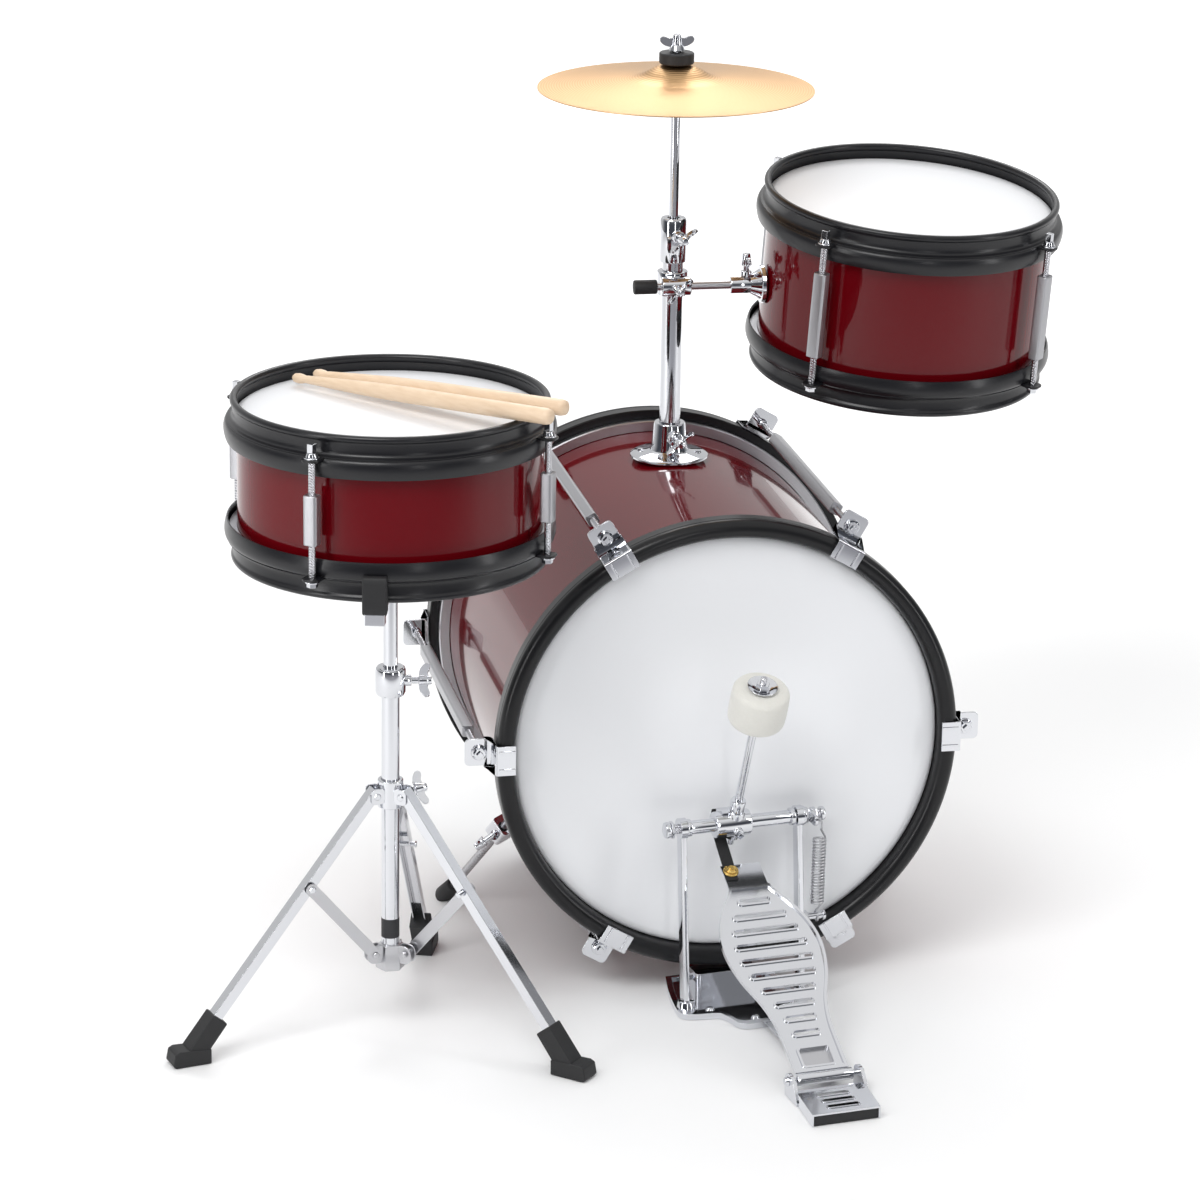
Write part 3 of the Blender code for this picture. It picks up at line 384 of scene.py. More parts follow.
def smooth_line(points, steps=6):
    """A curve through 2-D points."""
    curve = []
    for i in range(len(points) - 1):
        p0, p1 = points[max(i - 1, 0)], points[i]
        p2, p3 = points[i + 1], points[min(i + 2, len(points) - 1)]
        for k in range(steps):
            t = k / steps
            curve.append(tuple(
                0.5 * (2 * b + (c - a) * t + (2 * a - 5 * b + 4 * c - d) * t * t
                       + (3 * b - a - 3 * c + d) * t ** 3)
                for a, b, c, d in zip(p0, p1, p2, p3)
            ))
    curve.append(tuple(points[-1]))
    return curve


def sweep(route, radius, sides=12):
    rings, points = [], []
    side = None
    for i, point in enumerate(route):
        along = (route[min(i + 1, len(route) - 1)] - route[max(i - 1, 0)]).normalized()
        if side is None:
            side = along.orthogonal().normalized()
        side = (side - along * side.dot(along)).normalized()
        other = along.cross(side)
        rings.append(range(len(points), len(points) + sides))
        for k in range(sides):
            angle = 2 * math.pi * k / sides
            points.append(point + (side * math.cos(angle) + other * math.sin(angle)) * radius)
    faces = [list(rings[0]), list(rings[-1])]
    for ring, following in zip(rings, rings[1:]):
        for k in range(sides):
            j = (k + 1) % sides
            faces.append([ring[k], ring[j], following[j], following[k]])
    return shape(points, faces)


def arc(centre, radius, start, end, steps):
    """Points of an arc in degrees, ends included."""
    points = []
    for i in range(steps + 1):
        turn = math.radians(start + (end - start) * i / steps)
        points.append((centre[0] + radius * math.cos(turn), centre[1] + radius * math.sin(turn)))
    return points


def turned(angle, radius, height=0.0):
    turn = math.radians(angle)
    return Vector((radius * math.cos(turn), radius * math.sin(turn), height))


def make(name, body, look, *shapes, stands_for=(), bevel=0.0, sharp=35):
    """One piece of the look, riding on a CAD body."""
    whole = bmesh.new()
    for bm in shapes:
        part = bpy.data.meshes.new("part")
        bm.to_mesh(part)
        bm.free()
        whole.from_mesh(part)
        bpy.data.meshes.remove(part)
    bmesh.ops.transform(whole, matrix=PLACE, verts=whole.verts)
    mesh = bpy.data.meshes.new(name)
    whole.to_mesh(mesh)
    whole.free()
    mesh.shade_smooth()
    mesh.set_sharp_from_angle(angle=math.radians(sharp))
    piece = bpy.data.objects.new(name, mesh)
    bpy.context.scene.collection.objects.link(piece)
    mesh.materials.append(LOOKS[look])
    if bevel:
        modifier = piece.modifiers.new("edges", "BEVEL")
        modifier.width = bevel
        modifier.segments = 3
        modifier.limit_method = "ANGLE"
        modifier.angle_limit = math.radians(40)
        modifier.use_clamp_overlap = True
        modifier.harden_normals = True
    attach(piece, body)
    if stands_for:
        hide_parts(*([stands_for] if isinstance(stands_for, str) else stands_for))
    return piece


# ---------------------------------------------------------------- small hardware
def wing_bolt(base, direction, wing_side, shank=0.010):
    """A cast wing bolt: shank, tapered hub and two rounded ears."""
    where = frame_at(base, direction, wing_side)
    direction = Vector(direction).normalized()
    shapes = [
        rod(base, Vector(base) + direction * (shank + 0.003), 0.0030, 20),
        rod(Vector(base) + direction * shank, Vector(base) + direction * (shank + 0.0115), 0.0052, 28, 0.0036,
            0.0006),
    ]
    standing = where @ Matrix.Translation((0, 0, shank)) @ Matrix.Rotation(math.radians(90), 4, "X")
    for side in (-1, 1):
        ear = smooth_line([
            (side * 0.0020, 0.0010), (side * 0.0070, 0.0004), (side * 0.0120, 0.0020),
            (side * 0.0160, 0.0055), (side * 0.0155, 0.0092), (side * 0.0120, 0.0100),
            (side * 0.0070, 0.0082), (side * 0.0020, 0.0092),
        ], 4)
        shapes.append(plate(ear, -0.0012, 0.0012, standing))
    return shapes


def wing_piece(name, body, base, direction, wing_side, shank, node=()):
    make(name, body, "chrome", *wing_bolt(base, direction, wing_side, shank), stands_for=node, bevel=0.0005)


# ---------------------------------------------------------------- bass drum
def bass_frame(front):
    if front:
        return frame_at((0, BASS_DEPTH, BASS_AXIS_Z), -Y)
    return frame_at((0, 0, BASS_AXIS_Z), Y)


def make_bass():
    low = 0.0113
    inner = BASS_SHELL_R - 0.006
    high = BASS_DEPTH - low
    make("bass_wrap", "kit", "wrap",
         lathe([(inner, low), (BASS_SHELL_R, low), (BASS_SHELL_R, high), (inner, high)], bass_frame(False),
               192),
         stands_for="bass_shell")
    for name, front in (("batter", False), ("front", True)):
        where = bass_frame(front)
        nose = BASS_HOOP_WALL / 2
        middle = BASS_HOOP_R - nose
        outline = [(middle - nose, BASS_HOOP_BACK), (BASS_HOOP_R - 0.0010, BASS_HOOP_BACK),
                   (BASS_HOOP_R, BASS_HOOP_BACK - 0.0010), (BASS_HOOP_R, 0.0075),
                   (BASS_HOOP_R - 0.0006, 0.0068),
                   (BASS_HOOP_R, 0.0061)]
        for radius, height in arc((0, 0), nose, 0, 180, 20):
            outline.append((middle + radius, 0.0045 - height))
        make(f"bass_{name}_hoop_look", "kit", "black_hoop", lathe(outline, where, 192),
             stands_for=f"bass_{name}_hoop")
        outer = BASS_HOOP_R - BASS_HOOP_WALL - 0.0004
        film = [(0, 0.0100), (outer - 0.0090, 0.0100), (outer - 0.0045, 0.0102), (outer - 0.0015, 0.0112),
                (outer, 0.0130), (outer, 0.0200), (outer - 0.0012, 0.0200), (outer - 0.0012, 0.0130),
                (outer - 0.0050, 0.0112), (0, 0.0110)]
        make(f"bass_{name}_head_look", "kit", "head", lathe(film, where, 192),
             stands_for=f"bass_{name}_head", sharp=50)
        ring = BASS_HOOP_BACK + 0.0003
        band = [(BASS_SHELL_R + 0.0006, ring), (BASS_FLESH_R - 0.001, ring), (BASS_FLESH_R, ring + 0.001),
                (BASS_FLESH_R, ring + 0.0080), (BASS_FLESH_R - 0.001, ring + 0.0090),
                (BASS_SHELL_R + 0.0006, ring + 0.0090)]
        make(f"bass_{name}_flesh_ring", "kit", "satin", lathe(band, where, 192))
    for number in range(6):
        make_bass_rod(number + 1, 60 * number)


def bass_claw(front, outward):
    base = bass_frame(front)
    where = frame_at(base.translation, base.col[2].to_3d(), outward)
    high = BASS_HOOP_R + 0.0004
    skin = 0.0016
    hook = [(high - 0.0165, -0.0050), (high - 0.0165, -0.0064)]
    for i in range(7):
        turn = math.radians(15 * i)
        hook.append((high - 0.0004 + 0.0020 * math.sin(turn), -0.0046 - 0.0020 * math.cos(turn)))
    hook += [(high + skin, 0.0212), (high + 0.0040, 0.0236), (high + 0.0080, 0.0236), (high + 0.0080, 0.0214),
             (high + 0.0050, 0.0214), (high, 0.0190), (high, -0.0050)]
    upright = where @ Matrix.Rotation(math.radians(90), 4, "X")
    ear = plate(rounded(0.0245, 0.0255, 0.0045, (high + 0.0133, 0)), 0.0214, 0.0236, where)
    shapes = [plate(hook, -0.0140, 0.0140, upright), ear]
    for side in (-0.0085, 0.0085):
        shapes.append(block((high - 0.0085, side, -0.0068), (0.0150, 0.0018, 0.0012), where))

    def spot(height):
        return where @ Vector((BASS_ROD_R, 0, height))

    shapes.append(rod(spot(0.0213), spot(0.0198), 0.0072, 32, 0.0072, 0.0004))
    shapes.append(rod(spot(0.0200), spot(0.0150), 0.0056, 6))
    shapes.append(rod(spot(0.0152), spot(0.0125), 0.0034, 4))
    shapes.append(rod(spot(0.0236), spot(0.0300), 0.0050, 24, 0.0042, 0.0005))
    return shapes


def make_bass_rod(number, angle):
    outward = Vector((math.cos(math.radians(angle)), 0, math.sin(math.radians(angle))))
    near = Vector((0, 0, BASS_AXIS_Z)) + outward * BASS_ROD_R
    far = near + Y * BASS_DEPTH
    quarter = BASS_DEPTH * 0.2
    sleeve = frame_at((near + far) / 2, Y, outward)
    make(f"bass_claws_{number}", "kit", "chrome", *bass_claw(False, outward), *bass_claw(True, outward),
         stands_for=f"bass_tension_rod_{number}", bevel=0.0006)
    make(f"bass_thread_{number}", "kit", "thread", rod(near + Y * 0.024, far - Y * 0.024, 0.0030, 20))
    half = BASS_DEPTH / 2 - quarter
    make(f"bass_coupling_{number}", "kit", "grey_metal",
         plate(rounded(0.0110, 0.0110, 0.0022), -half, half, sleeve), bevel=0.0006)


def make_spurs():
    """Each spur's bracket with its wing bolt, the ringed leg, and the rubber tip cut flat at the floor."""
    for name, side in (("left", 1), ("right", -1)):
        mirror = Vector((side, 1, 1))
        middle, tip = SPUR_BLOCK * mirror, SPUR_TIP * mirror
        along = (tip - middle).normalized()
        axis = Vector((0, middle.y, BASS_AXIS_Z))
        outward = (middle - axis).normalized()
        where = frame_at(middle, along, outward)
        foot = frame_at(axis, outward, Y)
        base = BASS_SHELL_R + 0.0006
        under, over = axis + outward * (base + 0.003), axis + outward * (base + 0.005)
        screws = [rod(under + Y * aside, over + Y * aside, 0.003, 20) for aside in (0.015, -0.015)]
        make(f"spur_bracket_{name}_look", "kit", "chrome",
             plate(rounded(0.020, 0.020, 0.003), -0.011, 0.011, where),
             rod(axis + outward * base, middle, 0.0085, 32),
             plate(rounded(0.040, 0.022, 0.008), base, base + 0.003, foot),
             *screws,
             *wing_bolt(middle + outward * 0.0098, outward, along, 0.010),
             stands_for=f"spur_bracket_{name}", bevel=0.0007)
        heel = tip - along * 0.030
        reach = (middle - axis).length - BASS_SHELL_R
        top = middle - along * (0.0110 + reach * 0.3)
        rings = []
        count = 22
        start, run = middle + along * 0.015, (heel - middle).length - 0.020
        for i in range(count):
            low = start + along * run * i / count
            rings.append(rod(low, low + along * run / count * 0.55, 0.0040, 24, 0.0040, 0.0003))
        make(f"spur_rod_{name}", f"spur_leg_{name}", "satin", rod(top, heel + along * 0.01, 0.0036, 24),
             *rings,
             stands_for=f"spur_leg_{name}")
        rubber = [(0, 0), (0.0068, 0), (0.0078, 0.002), (0.0100, 0.029), (0.0094, 0.0315), (0.0070, 0.0318),
                  (0, 0.0318)]
        foot_place = frame_at(heel, along)
        rubber_piece = lathe([(r, h * 0.85) for r, h in rubber], foot_place, 40)
        for vert in rubber_piece.verts:
            vert.co.z = max(vert.co.z, 0.0)
        make(f"spur_tip_{name}", f"spur_leg_{name}", "rubber", rubber_piece,
             rod(top - along * 0.0010, top + along * 0.0008, 0.0050, 24, 0.0050, 0.0004))


# ---------------------------------------------------------------- post, arm, cymbal
def make_post():
    axis = Vector((0, POST_Y, 0))
    saddle = BASS_AXIS_Z + BASS_SHELL_R + 0.0008
    flange = [(0.0103, saddle), (0.036, saddle), (0.0372, saddle + 0.0012), (0.037, saddle + 0.0025),
              (0.034, saddle + 0.0042), (0.0215, saddle + 0.0056), (0.0185, saddle + 0.0075),
              (0.0168, saddle + 0.0120), (0.0150, saddle + 0.0325), (0.0142, saddle + 0.0340),
              (0.0103, saddle + 0.0340)]
    boss = axis + Z * (saddle + 0.022)
    screws = [rod(axis + turned(a, 0.0275, saddle + 0.004), axis + turned(a, 0.0275, saddle + 0.0066), 0.0035,
                  24,
                  0.0026) for a in (-120, -15, 60, 165)]
    make("post_base_look", "kit", "chrome", lathe(flange, Matrix.Translation(axis), 96),
         rod(boss, boss + turned(BASE_BOLT_ANGLE, 0.024), 0.0075, 32, 0.0068, 0.0006), *screws,
         stands_for="post_base")
    wings = X + Z * 0.8
    wing_piece("post_base_bolt_look", "post_base_wing_bolt", boss + turned(BASE_BOLT_ANGLE, 0.0243),
               turned(BASE_BOLT_ANGLE, 1), wings, 0.006, "post_base_wing_bolt")

    collar = [(0.0058, COLLAR_LOW), (0.0118, COLLAR_LOW), (0.0125, COLLAR_LOW + 0.0010),
              (0.0125, POST_TOP - 0.0022), (0.0112, POST_TOP), (0.0058, POST_TOP)]
    lug = axis + Z * (COLLAR_LOW + 0.026)
    make("post_look", "post", "chrome",
         lathe([(0.0058, 0.385), (0.0100, 0.385), (0.0100, COLLAR_LOW + 0.01), (0.0058, COLLAR_LOW + 0.01)],
               Matrix.Translation(axis), 64),
         lathe(collar, Matrix.Translation(axis), 64),
         rod(lug + turned(COLLAR_BOLT_ANGLE, 0.008), lug + turned(COLLAR_BOLT_ANGLE, 0.019), 0.0065, 32,
             0.0060,
             0.0005),
         *wing_bolt(lug + turned(COLLAR_BOLT_ANGLE, 0.0185), turned(COLLAR_BOLT_ANGLE, 1), wings, 0.004),
         stands_for="post_tube", bevel=0.0003)
    make_cymbal(axis)
    make_arm(axis)


def make_cymbal(axis):
    seat = CYMBAL_RIM_Z + 0.0225
    flange = [(0, seat - 0.006), (0.006, seat - 0.006), (0.0085, seat - 0.004), (0.0085, seat - 0.0026),
              (0, seat - 0.0026)]
    make("cymbal_rod_look", "cymbal_rod", "chrome",
         rod(axis + Z * (POST_TOP - 0.08), axis + Z * (seat - 0.004), 0.0045, 32),
         lathe(flange, Matrix.Translation(axis), 48), stands_for="cymbal_rod")
    make("cymbal_thread", "cymbal_rod", "thread",
         rod(axis + Z * (seat - 0.004), axis + Z * CYMBAL_ROD_TOP, 0.0030, 24, 0.0030, 0.0006))
    felt = [(0.0045, seat + 0.0018), (0.0155, seat + 0.0018), (0.0163, seat + 0.0028),
            (0.0163, seat + 0.0112),
            (0.0155, seat + 0.0120), (0.0045, seat + 0.0122)]
    pad = make("cymbal_washer_look", "cymbal_washer", "dark", lathe(felt, Matrix.Translation(axis), 64),
               stands_for="cymbal_washer")
    rise = seat - CYMBAL_RIM_Z
    bell = [(0.0045, rise + 0.0008), (0.0110, rise + 0.0003), (0.0180, rise - 0.0016),
            (0.0250, rise - 0.0050),
            (0.0310, rise - 0.0085), (0.0370, rise - 0.0110), (0.0440, rise - 0.0128)]
    curve = smooth_line(bell, 4)[:-1]
    for i in range(25):
        share = i / 24
        curve.append((0.0440 + (CYMBAL_R - 0.0440) * share, 0.0007 + (rise - 0.0135) * (1 - share) ** 1.2))
    under = [(radius, height - 0.0009) for radius, height in reversed(curve)]
    make("cymbal_look", "cymbal", "cymbal",
         lathe(curve + under, Matrix.Translation(axis + Z * CYMBAL_RIM_Z), 192), stands_for="cymbal",
         sharp=60)
    nut_at = axis + Z * (seat + 0.0140)
    make("cymbal_wing_nut_look", "cymbal_wing_nut", "chrome", *wing_bolt(nut_at, Z, X, 0.003),
         rod(nut_at, nut_at + Z * 0.005, 0.0075, 40, 0.0060, 0.0004), stands_for="cymbal_wing_nut",
         bevel=0.0005)


def make_arm(axis):
    middle = axis + Z * CLAMP_Z
    up = tom_frame().to_3x3() @ Z
    centre = TOM_TOP - up * (TOM_TOP.z - CLAMP_Z) / up.z
    straight = (centre - middle).xy.to_3d()
    aim = Matrix.Rotation(math.asin(ARM_OFFSET / straight.length), 3, "Z")
    along = aim @ straight.normalized()
    reach = math.sqrt(straight.length ** 2 - ARM_OFFSET ** 2) - DRUM_SHELL_R
    across = Z.cross(along)
    arm_line = middle - across * ARM_OFFSET
    seam = frame_at(middle - across * 0.010, Z, along)
    make("arm_clamp_look", "arm_clamp", "chrome",
         rod(middle - Z * 0.0115, middle + Z * 0.0115, 0.0145, 64, 0.0145, 0.0008),
         rod(arm_line - along * 0.014, arm_line + along * 0.014, 0.0090, 48, 0.0090, 0.0008),
         plate(rounded(0.018, 0.022, 0.003), -0.009, 0.009, seam), stands_for="arm_clamp", bevel=0.0005)
    wing_piece("arm_clamp_bolt_look", "arm_clamp_wing_bolt", arm_line - across * 0.0093, -across, Z + along,
               0.007,
               "arm_clamp_wing_bolt")
    knurl = [rod(arm_line + along * (0.016 + 0.0022 * i), arm_line + along * (0.0172 + 0.0022 * i), 0.0040,
                 20)
             for i in range(16)]
    make("tom_arm_look", "tom_arm", "satin",
         rod(arm_line - along * 0.038, arm_line + along * (reach - 0.008), 0.0037, 32), *knurl,
         stands_for="tom_arm")
    make("tom_arm_cap", "tom_arm", "rubber",
         rod(arm_line - along * 0.040, arm_line - along * 0.018, 0.0068, 32, 0.0068, 0.0012))
    make_tom(arm_line, along, reach)


# ---------------------------------------------------------------- snare and tom
def hoop_outline(height, flip):
    outline = [(-0.0033 + r, -0.0033 + z) for r, z in arc((0, 0), 0.0033, 205, -55, 14)]
    outline += smooth_line([(-0.0018, -0.0072), (-0.0022, -0.0110), (-0.0022, -0.0155), (-0.0006, -0.0182),
                            (0.0022, -0.0190), (0.0033, -0.0196)], 3)
    outline += smooth_line([(0.0030, -0.0203), (0.0042, -0.0214), (0.0053, -0.0242), (0.0056, -0.0276),
                            (0.0052, -0.0312), (0.0044, -0.0345), (0.0036, -0.0368)], 3)
    outline += [(0.0022, -0.0366), (0.0036, -0.0310), (0.0040, -0.0275), (0.0036, -0.0245), (0.0024, -0.0214),
                (-0.0030, -0.0198), (-0.0038, -0.0182), (-0.0038, -0.0075), (-0.0054, -0.0060)]
    return [(BEAD_R + r, -height - z if flip else z) for r, z in outline]


def make_drum(name, body, where, height, first_lug, sleeve):
    lugs = [first_lug + 90 * i for i in range(4)]
    inner = DRUM_SHELL_R - 0.005
    top = -0.0151
    make(f"{name}_wrap", body, "wrap",
         lathe([(inner, -height - top), (DRUM_SHELL_R, -height - top), (DRUM_SHELL_R, top), (inner, top)],
               where,
               160), stands_for=f"{name}_shell")
    for end, flip in (("top", False), ("bottom", True)):
        level = -height + 0.0206 if flip else -0.0206
        node = f"{name}_bottom_hoop_and_rods" if flip else f"{name}_top_hoop"
        ears = []
        for angle in lugs:
            turn = Matrix.Rotation(math.radians(angle), 4, "Z")
            ears.append(plate(rounded(0.0180, 0.0155, 0.0050, (LUG_R - 0.0015, 0)), level - 0.0011,
                              level + 0.0011,
                              where @ turn))
        make(f"{name}_{end}_hoop_look", body, "black_steel", lathe(hoop_outline(height, flip), where, 176),
             stands_for=node)
        make(f"{name}_{end}_hoop_ears", body, "black_steel", *ears, bevel=0.0005)
        drop = 0.0140
        rim = BEAD_R - 0.0044
        film = [(0, -drop), (rim - 0.0060, -drop), (rim - 0.0022, -drop - 0.0004), (rim, -drop - 0.0022),
                (rim, -0.0215), (rim - 0.0008, -0.0215), (rim - 0.0008, -drop - 0.0030),
                (rim - 0.0030, -drop - 0.0010), (0, -drop - 0.0008)]
        band = [(DRUM_SHELL_R + 0.0004, -0.0220), (BEAD_R + 0.0012, -0.0220), (BEAD_R + 0.0019, -0.0228),
                (BEAD_R + 0.0019, -0.0288), (BEAD_R + 0.0012, -0.0297), (DRUM_SHELL_R + 0.0004, -0.0297)]
        if flip:
            film = [(r, -height - z) for r, z in film]
            band = [(r, -height - z) for r, z in band]
        make(f"{name}_{end}_film", body, "head", lathe(film, where, 160), stands_for=f"{name}_{end}_head",
             sharp=50)
        make(f"{name}_{end}_flesh_ring", body, "satin", lathe(band, where, 160))
    for number, angle in enumerate(lugs, 1):
        make_lug(f"{name}_rod_{number}", body, where, height, angle, sleeve)


def make_lug(name, body, where, height, angle, sleeve):
    spot = turned(angle, LUG_R)
    turn = Matrix.Rotation(math.radians(angle), 4, "Z")
    top, low = -0.0195, -height + 0.0206
    half = sleeve / 2

    def at(level):
        return where @ (spot + Z * level)
    make(name + "_thread", body, "thread", rod(at(top + 0.004), at(low - 0.0060), 0.0030, 20))
    make(name + "_hardware", body, "chrome",
         rod(at(top), at(top + 0.0014), 0.0066, 36, 0.0066, 0.0003),
         rod(at(top + 0.0014), at(top + 0.0052), 0.0052, 36, 0.0044, 0.0005),
         rod(at(top + 0.0050), at(top + 0.0130), 0.0040, 4),
         rod(at(low - 0.0013), at(low - 0.0030), 0.0064, 36, 0.0064, 0.0003),
         rod(at(low - 0.0030), at(low - 0.0068), 0.0050, 6), bevel=0.0005)
    make(name + "_coupling", body, "grey_metal",
         plate(rounded(0.0110, 0.0125, 0.0024, (LUG_R, 0)), -height / 2 - half, -height / 2 + half,
               where @ turn),
         bevel=0.0010)


def tom_frame():
    lean = math.radians(TOM_TILT)
    return frame_at(TOM_TOP, turned(TOM_TILT_TOWARDS, math.sin(lean), math.cos(lean)))


def make_tom(arm_line, along, reach):
    make_drum("tom", "tom", tom_frame(), TOM_HEIGHT, TOM_LUG_ANGLE, 0.082)
    face = arm_line + along * (reach - 0.0030)
    sleeve_end = arm_line + along * (reach - 0.034)
    boss = (face + sleeve_end) / 2
    make("tom_bracket_look", "tom", "chrome",
         rod(face + along * 0.0015, face - along * 0.0025, 0.0185, 64, 0.0178, 0.0008),
         rod(face - along * 0.002, face - along * 0.012, 0.0145, 64, 0.0088),
         rod(face, sleeve_end, 0.0085, 48, 0.0085, 0.0008),
         rod(boss, boss + Z * 0.0130, 0.0055, 32, 0.0052, 0.0005), stands_for="tom_bracket")
    wing_piece("tom_bracket_bolt_look", "tom_bracket_wing_bolt", boss + Z * 0.0133, Z, Z.cross(along), 0.005,
               "tom_bracket_wing_bolt")


def make_snare():
    make_drum("snare", "snare", Matrix.Translation(SNARE_TOP), SNARE_HEIGHT, SNARE_LUG_ANGLE, 0.044)
    radius = 0.0072
    for number, (butt, tip) in enumerate(STICK_ENDS, 1):
        length = (tip - butt).length
        profile = [(0, 0), (radius * 0.55, 0.0004), (radius * 0.88, 0.0020), (radius, 0.0060),
                   (radius, length * 0.30), (radius, length * 0.55), (radius * 0.92, length * 0.68),
                   (radius * 0.72, length * 0.82), (radius * 0.50, length - 0.018),
                   (radius * 0.46, length - 0.015),
                   (radius * 0.58, length - 0.0115), (radius * 0.64, length - 0.0075),
                   (radius * 0.56, length - 0.003),
                   (radius * 0.32, length - 0.0007), (0, length)]
        make(f"drumstick_{number}_look", f"drumstick_{number}", "maple",
             lathe(profile, frame_at(butt, tip - butt), 32), stands_for=f"drumstick_{number}", sharp=60)


# ---------------------------------------------------------------- snare stand
def leg_frame(angle):
    return Matrix.Translation(STAND) @ Matrix.Rotation(math.radians(angle), 4, "Z")


def pin_across(where, point, half, radius=0.0022, head=0.0034):
    """A rivet along local Y through a point."""
    def at(offset):
        return where @ (Vector(point) + Y * offset)
    return [rod(at(-half), at(half), radius, 16),
            rod(at(-half - 0.0012), at(-half), head * 0.7, 20, head),
            rod(at(half), at(half + 0.0012), head, 20, head * 0.7)]


def make_stand():
    low, high = 0.3196, 0.3456
    place = Matrix.Translation(STAND)
    side = turned(-10, 1)
    boss = STAND + Z * ((low + high) / 2)
    hub_plates = []
    for angle in LEG_ANGLES:
        where = leg_frame(angle)
        upright = where @ Matrix.Rotation(math.radians(90), 4, "X")
        for offset in (-0.0053, 0.0023):
            hub_plates.append(plate(rounded(0.0180, 0.0170, 0.0070, (0.0150, 0.0760)), offset,
                                    offset + 0.0016,
                                    upright))
        hub_plates += pin_across(where, (0.0175, 0.0020, 0.0775), 0.0080)
    make("stand_lower_look", "stand_base", "chrome",
         lathe([(0.0066, 0.062), (0.0080, 0.062), (0.0080, high - 0.006), (0.0066, high - 0.006)], place, 48),
         bevel=0.0003)
    make("stand_hub", "stand_base", "satin",
         lathe([(0, 0.0600), (0.0122, 0.0600), (0.0135, 0.0612), (0.0135, 0.0700), (0.0120, 0.0740),
                (0.0120, 0.0828), (0.0108, 0.0840), (0, 0.0840)], place, 6), *hub_plates, bevel=0.0006)
    make("stand_plain_label", "stand_base", "dark",
         lathe([(0.0080, 0.0905), (0.00815, 0.0905), (0.00815, 0.1085), (0.0080, 0.1085)], place, 48))
    make("stand_collar_look", "stand_base", "chrome",
         lathe([(0.0066, low), (0.0120, low), (0.0135, low + 0.003), (0.0135, high - 0.003),
                (0.0128, high - 0.001),
                (0.0115, high), (0.0066, high)], place, 64),
         rod(boss, boss + side * 0.0185, 0.0055, 32, 0.0050, 0.0005), stands_for="stand_lower_tube")
    wing_piece("stand_height_bolt_look", "stand_height_wing_bolt", boss + side * 0.0188, side, Z + Y, 0.006,
               "stand_height_wing_bolt")

    level = LEG_PIVOT.z
    ears = []
    for angle in LEG_ANGLES:
        where = leg_frame(angle)
        upright = where @ Matrix.Rotation(math.radians(90), 4, "X")
        for offset in (-0.0072, 0.0072):
            ears.append(plate(rounded(0.0125, 0.0145, 0.0035, (0.0148, level)), offset - 0.0008,
                              offset + 0.0008,
                              upright))
        ears += pin_across(where, LEG_PIVOT, 0.0080)
    gap = 0.0083
    ring = [(gap, level - 0.0130), (0.0108, level - 0.0130), (0.0115, level - 0.0122),
            (0.0115, level + 0.0122),
            (0.0108, level + 0.0130), (gap, level + 0.0130)]
    knob_side = turned(14, 1)
    make("leg_collar_look", "leg_collar", "chrome", lathe(ring, place, 48), *ears,
         *wing_bolt(STAND + Z * level + knob_side * 0.0110, knob_side, Z + Y, 0.012), stands_for="leg_collar",
         bevel=0.0003)
    for number, angle in enumerate(LEG_ANGLES, 1):
        make_leg(number, leg_frame(angle))
    make_basket(place)


def make_leg(number, where):
    along = (LEG_FOOT - LEG_PIVOT).normalized()
    run = (LEG_FOOT - LEG_PIVOT).length
    strip = where @ frame_at(LEG_PIVOT, along, Y)
    wall, wide, back, front = 0.0012, 0.0059, 0.0030, 0.0062
    channel = [(-wide, front), (-wide, -back), (-wide + wall, -back), (-wide + wall, front - wall),
               (wide - wall, front - wall), (wide - wall, -back), (wide, -back), (wide, front)]
    hold = LEG_PIVOT.lerp(LEG_FOOT, BRACE_ON_LEG)
    make(f"stand_leg_{number}_look", f"stand_leg_{number}", "chrome",
         plate(channel, -0.004, run + 0.004, strip), *pin_across(where, hold, 0.0098), bevel=0.0004,
         stands_for=f"stand_leg_{number}")
    pad = where @ Matrix.Translation((LEG_FOOT.x, 0, 0)) @ Matrix.Rotation(math.radians(90), 4, "X")
    toe = [(-0.0052, 0.0), (0.0286, 0.0), (0.0308, 0.0030), (0.0288, 0.0132), (0.0245, 0.0152),
           (-0.0052, 0.0140)]
    cuff = [(-0.0046, 0.0100), (0.0150, 0.0100), (0.0158, 0.0150), (-0.0078, 0.0450), (-0.0208, 0.0346),
            (-0.0052, 0.0140)]
    make(f"stand_foot_{number}", f"stand_leg_{number}", "rubber", plate(toe, -0.0105, 0.0105, pad),
         plate(cuff, -0.0094, 0.0094, pad), bevel=0.0012)
    reach = (hold - BRACE_PIVOT).length
    link = where @ frame_at(BRACE_PIVOT + Y * 0.0085, hold - BRACE_PIVOT, Y)
    link = link @ Matrix.Rotation(math.radians(90), 4, "Y")
    make(f"stand_brace_{number}_look", f"stand_brace_{number}", "satin",
         plate(rounded(reach + 0.011, 0.0110, 0.0050, (-reach / 2, 0)), -0.0008, 0.0008, link), bevel=0.0003,
         stands_for=f"stand_brace_{number}")


